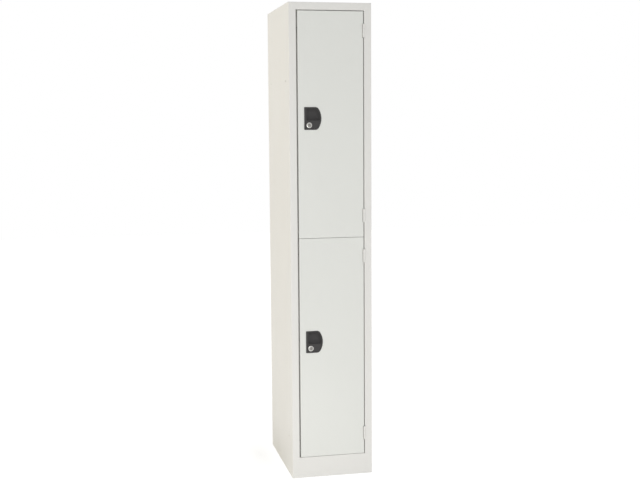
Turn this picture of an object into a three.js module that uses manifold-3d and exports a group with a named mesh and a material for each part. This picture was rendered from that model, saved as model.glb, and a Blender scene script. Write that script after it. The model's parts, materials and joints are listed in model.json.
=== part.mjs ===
// A two-door steel locker that stands on its plinth: one narrow cabinet with two inset doors, one above the
// other, and in each door a black D-shaped finger pull with a key lock in its lower corner.
// Millimetres, +Z up, and the doors face -Y. The origin is the middle of the footprint, on the floor.
import * as THREE from "three";
import { mergeVertices } from "three/addons/utils/BufferGeometryUtils.js";
import Module from "manifold-3d";

const wasm = await Module();
wasm.setup();

// Cabinet
const bodyWidth = 311;
const bodyDepth = 457;
const bodyHeight = 1780;
const sheet = 0.9; // cabinet steel
const sheetBend = 1.6; // middle radius of a fold in cabinet steel
const seam = 0.2; // left between two pieces that touch
const overrun = 6; // how far a cutting shape runs past what it cuts

// Front frame, folded from the same sheets as the sides, the top and the plinth
const stileWidth = 27.7;
const railHeight = 27.8;
const plinthHeight = 79;
const stopDepth = 22; // from the front face to the back of the flange that a shut door meets
const stopWidth = 12;
const rearFlange = 15;
const baseFlange = 15;
const baseFlangeSetback = 30;
const plinthLip = 12;
const topLip = 15;
const topLipSetback = 30;

// Gaps round the doors
const latchGap = 5.1;
const hingeGap = 2.8;
const topGap = 2.4;
const middleGap = 1;
const bottomGap = 1;

// Shelves, each a shallow pan turned upside down
const shelfRise = 12; // top of a shelf above the bottom edge of the door in front of it
const shelfLip = 28;
const floorLip = 15;

// Holes that bolt cabinets side by side, and the cabinet to a wall
const nestRadius = 4;
const nestFromFront = 68;
const nestFromBack = 76;
const nestFromTop = 283;
const nestFromFloor = 149;
const wallHoleRadius = 4;
const wallHoleFromTop = 120;
const wallHoleSpacing = 160;

// Doors
const doorSheet = 1.2;
const doorDepth = 18;
const doorEdgeRadius = 2;
const doorLip = 10;
const stiffenerWidth = 60;
const stiffenerCrown = 34;
const stiffenerDepth = 13;
const stiffenerEndGap = 14;
const stiffenerFromHinge = 75;

// Hinges: three knuckles on one pin, both leaves in the gap between door and stile
const hingeHeight = 50;
const barrelRadius = 4.5;
const boreRadius = 2.3;
const pinRadius = 2;
const pinHeadRadius = 3.4;
const pinHeadHeight = 1.2;
const axisProud = 1; // the pin's middle stands this far in front of the face
const knuckleGap = 0.4;
const leafThickness = 1.1;
const leafDepth = 14;
const leafClearance = 0.7;
const notchClearance = 0.8;
const hingeFromTop = 70.5;
const hingeFromBottom = 80.5;
const knuckleCount = 3;

// Finger pull
const cupWidth = 64.5;
const cupHeight = 83.5;
const cupBulge = 65; // radius of the D's long curve
const cupCorner = 15; // radius where that curve meets the top and the bottom
const cupLeftCorner = 2.5;
const cupInnerCorner = 1;
const cupFromEdge = 23;
const cupAboveDoorBottom = 443.3;
const flangeProud = 2;
const flangeEdge = 1.1;
const flangeOverlap = 3.5;
const cupWall = 1.8;
const cupDepth = 17;
const cupFloor = 2;
const cupFootRound = 1.5;
const rimWidth = 4.2;
const rimSlopeDepth = 3;
const lipReach = 9; // the lip that fingers pull on, over the left of the pocket
const lipThickness = 3;
const ledgeBar = 2.4;
const lockPadRecess = 1;
const lockPadThickness = 3;
const cutoutClearance = 0.3;
const lugLength = 12;
const lugReach = 1.6;
const lugHeight = 2.5;
const lugGap = 0.3;

// Cam lock
const lockFromCupEdge = 18.6;
const lockHeadRadius = 10.5;
const lockHeadHeight = 2.2;
const lockHeadChamfer = 0.8;
const lockBodyRadius = 9;
const lockBodyEnd = 21.5; // behind the door's face
const lockHoleClearance = 0.3;
const nutAcrossFlats = 21;
const nutThickness = 4;
const nutFootClearance = 1.15; // between the nut and the pull's wall below it
const nutLedgeClearance = 4.9; // between the nut and the bar above it
const plugRadius = 6;
const plugClearance = 0.3;
const plugInset = 0.3;
const keywayWidth = 1.5;
const keywayHeight = 7.4;
const keywayDepth = 7;
const driveSize = 7;
const camThickness = 2.5;
const camClearance = 0.6; // cam behind the stop flange
const camLength = 42;
const camRoundRadius = 9;
const camArmWidth = 14;
const camTipRadius = 3;
const camScrewHeadRadius = 5.2;
const camScrewHeadHeight = 2.6;
const camScrewRadius = 1.7;
const camScrewLength = 5;
const camScrewClearance = 0.3;

// Coat hooks and door buffers
const hookStrip = 2.2;
const hookWidth = 16;
const hookBend = 5;
const hookBase = 30;
const hookDrop = 46;
const hookReach = 24;
const hookTip = 18;
const hookFromBack = 200;
const bufferRadius = 3.6;
const bufferFromDoorEnd = 60;

// How finely curves are faceted
const bendSteps = 4;
const roundSteps = 32;
const smallRoundSteps = 20;
const arcSteps = 10;
const grid = 0.001;
const fullTurn = 2 * Math.PI;

// Places that follow from the sizes above
const frontProud = Math.max(axisProud + barrelRadius, lockHeadHeight + seam - lockPadRecess + flangeProud);
const frontY = (frontProud - bodyDepth) / 2;
const innerHalfWidth = bodyWidth / 2 - sheet - seam;
const doorwayHalfWidth = bodyWidth / 2 - stileWidth;
const railHalfWidth = doorwayHalfWidth - seam;
const stopHalfWidth = doorwayHalfWidth - stopWidth - seam;
const backPanelFront = bodyDepth - 2 * sheet - seam;
const doorWidth = bodyWidth - 2 * stileWidth - latchGap - hingeGap;
const doorwayHeight = bodyHeight - railHeight - plinthHeight;
const doorHeight = (doorwayHeight - topGap - middleGap - bottomGap) / 2;
const lowerDoorZ = plinthHeight + bottomGap;
const upperDoorZ = lowerDoorZ + doorHeight + middleGap;
const hingeX = doorwayHalfWidth - hingeGap / 2;
const doorRight = -hingeGap / 2;
const doorLeft = doorRight - doorWidth;
const lockPadFront = lockPadRecess - flangeProud;
const lockAboveCupFoot = flangeOverlap + cupWall + nutFootClearance + nutAcrossFlats / 2;
const lockBelowMiddle = cupHeight / 2 - lockAboveCupFoot;
const ledgeBelowMiddle = lockBelowMiddle - nutAcrossFlats / 2 - nutLedgeClearance - ledgeBar;
const camFront = stopDepth + camClearance;
const camBack = camFront + camThickness;

// Finishes
const paint = { color: 0xdddcd6, roughness: 0.45, metalness: 0 };
const interiorPaint = { color: 0xd8d7d1, roughness: 0.5, metalness: 0 };
const blackPlastic = { color: 0x3c3c3e, roughness: 0.6, metalness: 0 };
const brightMetal = { color: 0xc9c8c2, roughness: 0.25, metalness: 1 };
const zincSteel = { color: 0x9fa1a3, roughness: 0.4, metalness: 1 };
const blackRubber = { color: 0x222222, roughness: 0.9, metalness: 0 };

// A closed three.js geometry as a solid that can be joined and cut. Its corners are put on a fine grid,
// so that faces meant to lie in one plane do.
function solidOf(geometry) {
  const bare = geometry.clone();
  bare.deleteAttribute("normal");
  bare.deleteAttribute("uv");
  const merged = mergeVertices(bare);
  const triVerts = new Uint32Array(merged.index.array);
  const vertProperties = merged.attributes.position.array.map((value) => Math.round(value / grid) * grid);
  return new wasm.Manifold(new wasm.Mesh({ numProp: 3, vertProperties, triVerts }));
}

// A solid as a three.js geometry with flat-shaded faces.
function geometryOf(solid) {
  const mesh = solid.getMesh();
  const shared = new THREE.BufferGeometry();
  shared.setAttribute("position", new THREE.BufferAttribute(mesh.vertProperties, 3));
  shared.setIndex(new THREE.BufferAttribute(mesh.triVerts, 1));
  const geometry = shared.toNonIndexed();
  geometry.computeVertexNormals();
  return geometry;
}

// A named piece of the locker.
function piece(name, solid, finish) {
  const mesh = new THREE.Mesh(geometryOf(solid), new THREE.MeshStandardMaterial(finish));
  mesh.name = name;
  return mesh;
}

// A span between two distances from the middle, on one side of it. side is -1 for low values and 1 for high.
function onSide(side, near, far) {
  return side > 0 ? [near, far] : [-far, -near];
}

// A box between two values on each axis.
function block([x0, x1], [y0, y1], [z0, z1]) {
  const geometry = new THREE.BoxGeometry(x1 - x0, y1 - y0, z1 - z0);
  return solidOf(geometry.translate((x0 + x1) / 2, (y0 + y1) / 2, (z0 + z1) / 2));
}

// A shape drawn in X and Y, pulled up from z0 to z1.
function pulledUp(shape, z0, z1) {
  return solidOf(extruded(shape, z1 - z0).translate(0, 0, z0));
}

// A shape drawn in X and Z, pulled back from y0 to y1.
function pulledBack(shape, y0, y1) {
  return solidOf(extruded(shape, y1 - y0).rotateX(Math.PI / 2).translate(0, y1, 0));
}

// A shape drawn in Y and Z, pulled sideways over -halfWidth to halfWidth.
function pulledAcross(shape, halfWidth) {
  const turn = new THREE.Matrix4().makeBasis(
    new THREE.Vector3(0, 1, 0),
    new THREE.Vector3(0, 0, 1),
    new THREE.Vector3(1, 0, 0),
  );
  return solidOf(extruded(shape, 2 * halfWidth).applyMatrix4(turn).translate(-halfWidth, 0, 0));
}

function extruded(shape, depth) {
  return new THREE.ExtrudeGeometry(shape, { depth, bevelEnabled: false, curveSegments: arcSteps });
}

// A round bar along Y, X or Z.
function barY(radius, y0, y1, x = 0, z = 0) {
  const geometry = new THREE.CylinderGeometry(radius, radius, y1 - y0, roundSteps);
  return solidOf(geometry.translate(x, (y0 + y1) / 2, z));
}

function barX(radius, x0, x1, y, z) {
  const geometry = new THREE.CylinderGeometry(radius, radius, x1 - x0, smallRoundSteps);
  return solidOf(geometry.rotateZ(Math.PI / 2).translate((x0 + x1) / 2, y, z));
}

function barZ(radius, z0, z1) {
  const geometry = new THREE.CylinderGeometry(radius, radius, z1 - z0, smallRoundSteps);
  return solidOf(geometry.rotateX(Math.PI / 2).translate(0, 0, (z0 + z1) / 2));
}

// A part turned about Y from a closed outline of [radius, y] corners, listed anticlockwise.
function turned(corners, steps) {
  const points = [...corners, corners[0]].map(([radius, y]) => new THREE.Vector2(radius, y));
  return solidOf(new THREE.LatheGeometry(points, steps));
}

// Outline of a folded sheet. Its middle line runs through the corners, with an arc of the bend radius at
// each, and the sheet lies half its thickness to either side of that line.
function foldedSheet(corners, thickness, bendRadius) {
  const line = corners.map(([a, b]) => new THREE.Vector2(a, b));
  const left = [];
  const right = [];
  const station = (point, direction) => {
    const across = new THREE.Vector2(-direction.y, direction.x).multiplyScalar(thickness / 2);
    left.push(point.clone().add(across));
    right.push(point.clone().sub(across));
  };
  const heading = (i) => line[i + 1].clone().sub(line[i]).normalize();
  station(line[0], heading(0));
  for (let i = 1; i < line.length - 1; i++) {
    const before = heading(i - 1);
    const after = heading(i);
    const turn = Math.atan2(before.cross(after), before.dot(after));
    const setback = bendRadius * Math.tan(Math.abs(turn) / 2);
    const start = line[i].clone().addScaledVector(before, -setback);
    const towards = new THREE.Vector2(-before.y, before.x).multiplyScalar(Math.sign(turn) * bendRadius);
    const centre = start.clone().add(towards);
    for (let step = 0; step <= bendSteps; step++) {
      const angle = (turn * step) / bendSteps;
      const point = start.clone().rotateAround(centre, angle);
      station(point, before.clone().rotateAround(new THREE.Vector2(), angle));
    }
  }
  station(line[line.length - 1], heading(line.length - 2));
  return new THREE.Shape([...left, ...right.reverse()]);
}

// Corners of an arc, from one angle to another.
function arc(x, y, radius, from, to, steps) {
  return Array.from({ length: steps + 1 }, (_, i) => {
    const angle = from + ((to - from) * i) / steps;
    return new THREE.Vector2(x + radius * Math.cos(angle), y + radius * Math.sin(angle));
  });
}

// Corners of a rectangle whose two front corners, at the low first coordinate, are rounded.
function frontRounded([a0, a1], [b0, b1], radius) {
  return [
    new THREE.Vector2(a1, b0),
    new THREE.Vector2(a1, b1),
    ...arc(a0 + radius, b1 - radius, radius, Math.PI / 2, Math.PI, bendSteps),
    ...arc(a0 + radius, b0 + radius, radius, Math.PI, (3 * Math.PI) / 2, bendSteps),
  ];
}

// One side of the cabinet: rear flange, side, front stile, its return and the stop flange, folded from one
// sheet. side is -1 for the left and 1 for the right.
function sidePanel(side) {
  const skinX = bodyWidth / 2 - sheet / 2;
  const returnX = doorwayHalfWidth + sheet / 2;
  const height = bodyHeight - sheet - seam;
  const corners = [
    [bodyWidth / 2 - rearFlange, bodyDepth - sheet / 2],
    [skinX, bodyDepth - sheet / 2],
    [skinX, sheet / 2],
    [returnX, sheet / 2],
    [returnX, stopDepth - sheet / 2],
    [doorwayHalfWidth - stopWidth, stopDepth - sheet / 2],
  ].map(([x, y]) => [side * x, y]);
  let panel = pulledUp(foldedSheet(corners, sheet, sheetBend), 0, height);
  const footX = onSide(side, bodyWidth / 2 - baseFlange, bodyWidth / 2 - sheet / 2);
  panel = panel.add(block(footX, [baseFlangeSetback, bodyDepth - baseFlangeSetback], [0, sheet]));
  const holeX = onSide(side, bodyWidth / 2 - overrun, bodyWidth / 2 + overrun);
  for (const y of [nestFromFront, bodyDepth - nestFromBack]) {
    for (const z of [bodyHeight - nestFromTop, nestFromFloor]) {
      panel = panel.subtract(barX(nestRadius, ...holeX, y, z));
    }
  }
  for (const z of side > 0 ? hingeMiddles() : []) {
    panel = panel.subtract(hingeNotch().translate([hingeX, -axisProud, z]));
  }
  return panel;
}

// The heights of the four hinges' middles, from the top one down.
function hingeMiddles() {
  return [upperDoorZ, lowerDoorZ].flatMap((z) => [z + doorHeight - hingeFromTop, z + hingeFromBottom]);
}

// The space that door and stile leave round a hinge barrel, with the pin's middle at the origin.
function hingeNotch() {
  const reach = barrelRadius + notchClearance;
  const half = hingeHeight / 2 + notchClearance;
  return block([-reach, reach], [-overrun, reach], [-half, half]);
}

// The top: one sheet over the whole cabinet, folded down in front as the top rail of the doorway, with lips
// turned down just inside the sides and the back.
function topPanel() {
  const railBottom = bodyHeight - railHeight;
  const roofMiddle = bodyHeight - sheet / 2;
  const corners = [
    [stopDepth, roofMiddle],
    [sheet / 2, roofMiddle],
    [sheet / 2, railBottom + sheet / 2],
    [stopDepth - sheet / 2, railBottom + sheet / 2],
    [stopDepth - sheet / 2, railBottom - stopWidth],
  ];
  let panel = pulledAcross(foldedSheet(corners, sheet, sheetBend), railHalfWidth);
  const cornerY = [stopDepth - sheet - sheetBend, bodyDepth];
  for (const side of [-1, 1]) {
    const corner = block(onSide(side, stopHalfWidth, bodyWidth), cornerY, [0, bodyHeight - railHeight / 2]);
    panel = panel.subtract(corner);
  }
  const slab = block([-bodyWidth / 2, bodyWidth / 2], [0, bodyDepth], [bodyHeight - sheet, bodyHeight]);
  const softEdge = frontRounded([0, bodyDepth], [railBottom, bodyHeight], sheetBend + sheet / 2);
  const roof = slab.intersect(pulledAcross(new THREE.Shape(softEdge), bodyWidth));
  const lipBack = backPanelFront - seam;
  const lipZ = [bodyHeight - topLip, roofMiddle];
  const lips = block([-innerHalfWidth, innerHalfWidth], [topLipSetback, lipBack], lipZ);
  const hollow = block(
    [sheet - innerHalfWidth, innerHalfWidth - sheet],
    [topLipSetback - overrun, lipBack - sheet],
    [bodyHeight - topLip - overrun, bodyHeight],
  );
  return panel.add(roof).add(lips.subtract(hollow));
}

// The plinth between the stiles, folded back at the top behind the lower door's bottom edge.
function plinthFront() {
  const corners = [
    [sheet / 2, 0],
    [sheet / 2, plinthHeight - sheet / 2],
    [stopDepth - sheet - sheetBend, plinthHeight - sheet / 2],
    [stopDepth - sheet - sheetBend, plinthHeight - plinthLip],
  ];
  return pulledAcross(foldedSheet(corners, sheet, sheetBend), railHalfWidth);
}

// The back: a plain sheet in front of the sides' rear flanges, with two holes for wall screws.
function backPanel() {
  const halfWidth = innerHalfWidth - sheetBend;
  const y = [backPanelFront, backPanelFront + sheet];
  let panel = block([-halfWidth, halfWidth], y, [0, bodyHeight - sheet - seam]);
  const z = bodyHeight - wallHoleFromTop;
  for (const x of [-wallHoleSpacing / 2, wallHoleSpacing / 2]) {
    panel = panel.subtract(barY(wallHoleRadius, y[0] - overrun, y[1] + overrun, x, z));
  }
  return panel;
}

// A shelf: a pan with its lips turned down. Its top face is at z = 0.
function shelf(lip) {
  const front = stopDepth + seam;
  const back = backPanelFront - seam;
  const hollowHalfWidth = innerHalfWidth - sheet;
  const hollowZ = [-lip - overrun, -sheet];
  const hollow = block([-hollowHalfWidth, hollowHalfWidth], [front + sheet, back - sheet], hollowZ);
  return block([-innerHalfWidth, innerHalfWidth], [front, back], [-lip, 0]).subtract(hollow);
}

// A double coat hook bent from strip, with its flat middle against the sheet above it at z = 0.
function coatHook() {
  const legX = hookBase / 2;
  const tipX = legX + hookReach;
  const half = [
    [tipX, hookTip - hookDrop],
    [tipX, -hookDrop + hookStrip / 2],
    [legX, -hookDrop + hookStrip / 2],
    [legX, -hookStrip / 2],
  ];
  const corners = [...half.map(([x, z]) => [-x, z]), ...half.reverse()];
  return pulledBack(foldedSheet(corners, hookStrip, hookBend), -hookWidth / 2, hookWidth / 2);
}

// A rubber buffer on the latch side's stop flange, which quiets the shutting door. Its back is at y = 0.
function doorBuffer() {
  const thickness = stopDepth - sheet - doorDepth - 2 * seam;
  return barY(bufferRadius, -thickness, 0);
}

// Where one knuckle of a hinge starts and ends, counted from the bottom.
function knuckleSpan(index) {
  const pitch = (hingeHeight + knuckleGap) / knuckleCount;
  const low = index * pitch - hingeHeight / 2;
  return [low, low + pitch - knuckleGap];
}

// One leaf with its knuckles. side is 1 for the frame's leaf, which has the outer knuckles, and -1 for the
// door's. The knuckle wraps round the pin from the leaf's outer face to its inner one.
function hingeLeaf(side) {
  const far = (hingeGap - seam) / 2;
  const near = far - leafThickness;
  const plateFront = barrelRadius + leafClearance;
  const neckEnd = plateFront + leafThickness;
  const wrapStart = Math.acos(near / barrelRadius);
  const wrapEnd = fullTurn + Math.acos(far / barrelRadius);
  const wrap = arc(0, 0, barrelRadius, wrapStart, wrapEnd, roundSteps);
  const corners = [new THREE.Vector2(far, neckEnd), new THREE.Vector2(near, neckEnd), ...wrap];
  const knuckle = new THREE.Shape(corners.map(({ x, y }) => new THREE.Vector2(side * x, y)));
  knuckle.holes.push(new THREE.Path(arc(0, 0, boreRadius, 0, fullTurn, smallRoundSteps).slice(1)));
  const plateZ = [-hingeHeight / 2, hingeHeight / 2];
  let leaf = block(onSide(side, near, far), [plateFront, plateFront + leafDepth], plateZ);
  for (let index = side > 0 ? 0 : 1; index < knuckleCount; index += 2) {
    leaf = leaf.add(pulledUp(knuckle, ...knuckleSpan(index)));
  }
  return leaf;
}

// The hinge pin with a flat head above the top knuckle.
function hingePin() {
  const top = hingeHeight / 2;
  return barZ(pinRadius, -top, top + seam + pinHeadHeight / 2).add(
    barZ(pinHeadRadius, top + seam, top + seam + pinHeadHeight / 2),
  );
}

// A door: a shallow pan with rounded front edges and lips turned in behind, cut for the pull and the
// hinges. Its frame has the hinge pins' middle line at x = 0, y = 0 and the door's bottom edge at z = 0.
function doorPanel() {
  const face = axisProud;
  const back = face + doorDepth;
  const inset = (amount, radius) => {
    const x = [doorLeft + amount, doorRight - amount];
    const y = [face + amount, back + (amount ? -amount : 0)];
    const z = [amount, doorHeight - amount];
    const across = frontRounded(y, x, radius).map((corner) => new THREE.Vector2(corner.y, corner.x));
    const plan = pulledUp(new THREE.Shape(across.reverse()), ...z);
    const profile = pulledAcross(new THREE.Shape(frontRounded(y, z, radius)), bodyWidth);
    return plan.intersect(profile);
  };
  const opening = block(
    [doorLeft + doorLip, doorRight - doorLip],
    [back - doorSheet - seam, back + overrun],
    [doorLip, doorHeight - doorLip],
  );
  const hollow = inset(doorSheet, doorEdgeRadius - doorSheet);
  let panel = inset(0, doorEdgeRadius).subtract(hollow).subtract(opening);
  const cutout = pulledBack(cupShape(flangeOverlap - cutoutClearance), -overrun, doorSheet + overrun);
  panel = panel.subtract(cutout.translate(cupPlace()));
  for (const z of [doorHeight - hingeFromTop, hingeFromBottom]) {
    panel = panel.subtract(hingeNotch().translate([0, 0, z]));
  }
  return panel;
}

// The hat-shaped stiffener behind the door's skin.
function doorStiffener() {
  const skinBack = axisProud + doorSheet + seam;
  const half = [
    [stiffenerWidth / 2, skinBack + sheet / 2],
    [stiffenerCrown / 2, skinBack + sheet / 2],
    [stiffenerCrown / 2, skinBack + stiffenerDepth - sheet / 2],
  ];
  const corners = [...half.map(([x, y]) => [-x, y]), ...half.reverse()];
  const hat = pulledUp(foldedSheet(corners, sheet, sheetBend), stiffenerEndGap, doorHeight - stiffenerEndGap);
  return hat.translate([-stiffenerFromHinge, 0, 0]);
}

// Where the middle of the pull lies on the door's face, in the door's frame.
function cupPlace() {
  return [doorLeft + cupFromEdge + cupWidth / 2, axisProud, cupAboveDoorBottom];
}

// The D outline of the pull, drawn in by inset on every side, listed anticlockwise as seen from the front.
function cupOutline(inset) {
  const halfWidth = cupWidth / 2 - inset;
  const halfHeight = cupHeight / 2 - inset;
  const bulge = cupBulge - inset;
  const corner = cupCorner - inset;
  const leftCorner = Math.max(cupLeftCorner - inset, cupInnerCorner);
  const bulgeX = halfWidth - bulge;
  const cornerZ = halfHeight - corner;
  const cornerX = bulgeX + Math.sqrt((bulge - corner) ** 2 - cornerZ ** 2);
  const lean = Math.atan2(cornerZ, cornerX - bulgeX);
  const leftX = -halfWidth + leftCorner;
  const leftZ = halfHeight - leftCorner;
  const quarter = Math.PI / 2;
  return [
    ...arc(cornerX, -cornerZ, corner, -quarter, -lean, bendSteps),
    ...arc(bulgeX, 0, bulge, -lean, lean, arcSteps).slice(1, -1),
    ...arc(cornerX, cornerZ, corner, lean, quarter, bendSteps),
    ...arc(leftX, leftZ, leftCorner, quarter, 2 * quarter, bendSteps),
    ...arc(leftX, -leftZ, leftCorner, 2 * quarter, 3 * quarter, bendSteps),
  ];
}

function cupShape(inset) {
  return new THREE.Shape(cupOutline(inset));
}

// A solid through D outlines, each given as [inset, y], from the back one to the front one.
function lofted(stations) {
  const rings = stations.map(([inset, y]) => cupOutline(inset).map((p) => [p.x, y, p.y]));
  const count = rings[0].length;
  const index = [];
  for (let k = 0; k < rings.length - 1; k++) {
    for (let i = 0; i < count; i++) {
      const next = (i + 1) % count;
      const [a, b, c, d] = [k * count + i, k * count + next, (k + 1) * count + next, (k + 1) * count + i];
      index.push(a, b, d, b, c, d);
    }
  }
  const cap = (inset) => THREE.ShapeUtils.triangulateShape(cupOutline(inset), []);
  const front = (rings.length - 1) * count;
  for (const [a, b, c] of cap(stations[0][0])) {
    index.push(c, b, a);
  }
  for (const [a, b, c] of cap(stations[stations.length - 1][0])) {
    index.push(front + a, front + b, front + c);
  }
  const geometry = new THREE.BufferGeometry();
  geometry.setAttribute("position", new THREE.Float32BufferAttribute(rings.flat(2), 3));
  geometry.setIndex(index);
  return solidOf(geometry);
}

// The moulded pull: a D flange on the door's face, a finger pocket above a bar, and below the bar a pad for
// the lock. Its frame has the D's middle on the door's face at the origin.
function fingerCup() {
  const front = -flangeProud;
  const wallInset = flangeOverlap + cupWall;
  const pocketFloor = cupDepth - cupFloor;
  const ledge = -ledgeBelowMiddle;
  const everywhere = [-cupWidth, cupWidth];
  const above = block(everywhere, everywhere, [ledge, cupHeight]);
  const below = block(everywhere, everywhere, [-cupHeight, ledge - ledgeBar]);
  const lipX = [-cupWidth, lipReach - cupWidth / 2];
  const overLip = block(lipX, [front - cupDepth, front + lipThickness], [-cupHeight, cupHeight]);
  const body = lofted([
    [flangeOverlap + cupFootRound, cupDepth],
    [flangeOverlap, cupDepth - cupFootRound],
    [flangeOverlap, -seam],
    [0, -seam],
    [0, front + flangeEdge],
    [flangeEdge / 3, front + flangeEdge / 3],
    [flangeEdge, front],
  ]);
  const pocket = lofted([
    [wallInset + cupFootRound, pocketFloor],
    [wallInset, pocketFloor - cupFootRound],
    [wallInset, front + rimSlopeDepth],
    [rimWidth, front],
    [rimWidth, front - overrun],
  ]);
  const padRecess = lofted([
    [rimWidth, lockPadFront],
    [rimWidth, front - overrun],
  ]);
  const chamber = lofted([
    [wallInset, cupDepth + overrun],
    [wallInset, lockPadFront + lockPadThickness],
  ]);
  const [lockX, , lockZ] = lockPlace();
  let cup = body.subtract(pocket.intersect(above).subtract(overLip));
  cup = cup.subtract(padRecess.intersect(below)).subtract(chamber.intersect(below));
  const holeRadius = lockBodyRadius + lockHoleClearance;
  cup = cup.subtract(barY(holeRadius, front - overrun, cupDepth + overrun, lockX, lockZ));
  for (const side of [-1, 1]) {
    const bodyEdge = cupHeight / 2 - flangeOverlap;
    const z = onSide(side, bodyEdge - cupWall / 2, bodyEdge + lugReach);
    const y = [doorSheet + lugGap, doorSheet + lugGap + lugHeight];
    cup = cup.add(block([-lugLength, 0], y, z));
  }
  return cup;
}

// The lock's axis in the pull's frame.
function lockPlace() {
  return [lockFromCupEdge - cupWidth / 2, 0, -lockBelowMiddle];
}

// The lock's fixed housing: a round head in front of the pad and a barrel through it.
function lockHousing() {
  const headBack = lockPadFront - seam;
  const headFront = headBack - lockHeadHeight;
  const bore = plugRadius + plugClearance;
  return turned(
    [
      [bore, headFront],
      [lockHeadRadius - lockHeadChamfer, headFront],
      [lockHeadRadius, headFront + lockHeadChamfer],
      [lockHeadRadius, headBack],
      [lockBodyRadius, headBack],
      [lockBodyRadius, lockBodyEnd],
      [bore, lockBodyEnd],
    ],
    roundSteps,
  );
}

// The hexagon nut that clamps pad and housing together.
function lockNut() {
  const front = lockPadFront + lockPadThickness + seam;
  const corner = nutAcrossFlats / 2 / Math.cos(Math.PI / 6);
  const hexagon = new THREE.CylinderGeometry(corner, corner, nutThickness, 6);
  const nut = solidOf(hexagon.rotateY(Math.PI / 6).translate(0, front + nutThickness / 2, 0));
  const threadRadius = lockBodyRadius + lockHoleClearance;
  return nut.subtract(barY(threadRadius, front - overrun, front + nutThickness + overrun));
}

// The plug that the key turns, with its keyway in front and a square drive for the cam behind.
function lockPlug() {
  const front = lockPadFront - seam - lockHeadHeight + plugInset;
  const shoulder = camFront - seam;
  const driveEnd = camBack - seam;
  const half = driveSize / 2;
  const keyway = block(
    [-keywayWidth / 2, keywayWidth / 2],
    [front - overrun, front + keywayDepth],
    [-keywayHeight / 2, keywayHeight / 2],
  );
  const holeEnd = driveEnd - camScrewLength - 2 * seam;
  const screwHole = barY(camScrewRadius + camScrewClearance, holeEnd, driveEnd + overrun);
  return barY(plugRadius, front, shoulder)
    .add(block([-half, half], [shoulder - driveSize, driveEnd], [-half, half]))
    .subtract(keyway)
    .subtract(screwHole);
}

// The cam, pointing down as when the door is unlocked.
function lockCam() {
  const half = camArmWidth / 2;
  const hole = driveSize / 2 + camScrewClearance;
  const tipZ = camTipRadius - camLength;
  const join = Math.asin(half / camRoundRadius);
  const corners = [
    ...arc(0, 0, camRoundRadius, join - Math.PI / 2, (3 * Math.PI) / 2 - join, roundSteps),
    ...arc(camTipRadius - half, tipZ, camTipRadius, Math.PI, (3 * Math.PI) / 2, bendSteps),
    ...arc(half - camTipRadius, tipZ, camTipRadius, (3 * Math.PI) / 2, 2 * Math.PI, bendSteps),
  ];
  const cam = pulledBack(new THREE.Shape(corners), camFront, camBack);
  return cam.subtract(block([-hole, hole], [camFront - overrun, camBack + overrun], [-hole, hole]));
}

// The screw that holds the cam on the plug.
function camScrew() {
  const headFront = camBack + seam;
  const end = camBack - seam - camScrewLength;
  return turned(
    [
      [0, end],
      [camScrewRadius, end],
      [camScrewRadius, headFront],
      [camScrewHeadRadius, headFront],
      [camScrewHeadRadius, headFront + camScrewHeadHeight / 2],
      [camScrewHeadRadius - camScrewHeadHeight / 2, headFront + camScrewHeadHeight],
      [0, headFront + camScrewHeadHeight],
    ],
    smallRoundSteps,
  );
}

// A group's helper that adds a mesh at a place in it.
function adderTo(group) {
  return (mesh, x = 0, y = 0, z = 0) => {
    mesh.position.set(x, y, z);
    group.add(mesh);
  };
}

// The cabinet with all that is fixed to it. Its frame has the front face at y = 0 and the floor at z = 0.
function cabinetGroup() {
  const group = new THREE.Group();
  group.position.y = frontY;
  const put = adderTo(group);
  put(piece("left_side_panel", sidePanel(-1), paint));
  put(piece("right_side_panel", sidePanel(1), paint));
  put(piece("back_panel", backPanel(), interiorPaint));
  put(piece("top_panel", topPanel(), paint));
  put(piece("plinth_front", plinthFront(), paint));
  const bottomTop = lowerDoorZ + shelfRise;
  const middleTop = upperDoorZ + shelfRise;
  put(piece("bottom_shelf", shelf(floorLip), interiorPaint), 0, 0, bottomTop);
  put(piece("middle_shelf", shelf(shelfLip), interiorPaint), 0, 0, middleTop);
  const hookY = bodyDepth - hookFromBack;
  put(piece("upper_coat_hook", coatHook(), zincSteel), 0, hookY, bodyHeight - sheet - seam);
  put(piece("lower_coat_hook", coatHook(), zincSteel), 0, hookY, middleTop - sheet - seam);
  const bufferX = (stopWidth + latchGap) / 2 - doorwayHalfWidth;
  const bufferY = stopDepth - sheet - seam;
  for (const [door, bottom] of [["upper", upperDoorZ], ["lower", lowerDoorZ]]) {
    const ends = { top: bottom + doorHeight - bufferFromDoorEnd, bottom: bottom + bufferFromDoorEnd };
    for (const [end, z] of Object.entries(ends)) {
      put(piece(`${door}_door_${end}_buffer`, doorBuffer(), blackRubber), bufferX, bufferY, z);
    }
  }
  const hingeNames = ["upper_door_top", "upper_door_bottom", "lower_door_top", "lower_door_bottom"];
  hingeMiddles().forEach((z, i) => {
    put(piece(`${hingeNames[i]}_hinge_frame_leaf`, hingeLeaf(1), paint), hingeX, -axisProud, z);
    put(piece(`${hingeNames[i]}_hinge_pin`, hingePin(), zincSteel), hingeX, -axisProud, z);
  });
  return group;
}

// The lock in the pull, in a frame on the lock's axis.
function lockGroup(name) {
  const group = new THREE.Group();
  group.position.set(...lockPlace());
  group.add(piece(`${name}_lock_housing`, lockHousing(), brightMetal));
  group.add(piece(`${name}_lock_nut`, lockNut(), zincSteel));
  group.add(piece(`${name}_lock_plug`, lockPlug(), brightMetal));
  group.add(piece(`${name}_lock_cam`, lockCam(), zincSteel));
  group.add(piece(`${name}_cam_screw`, camScrew(), zincSteel));
  return group;
}

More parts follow.
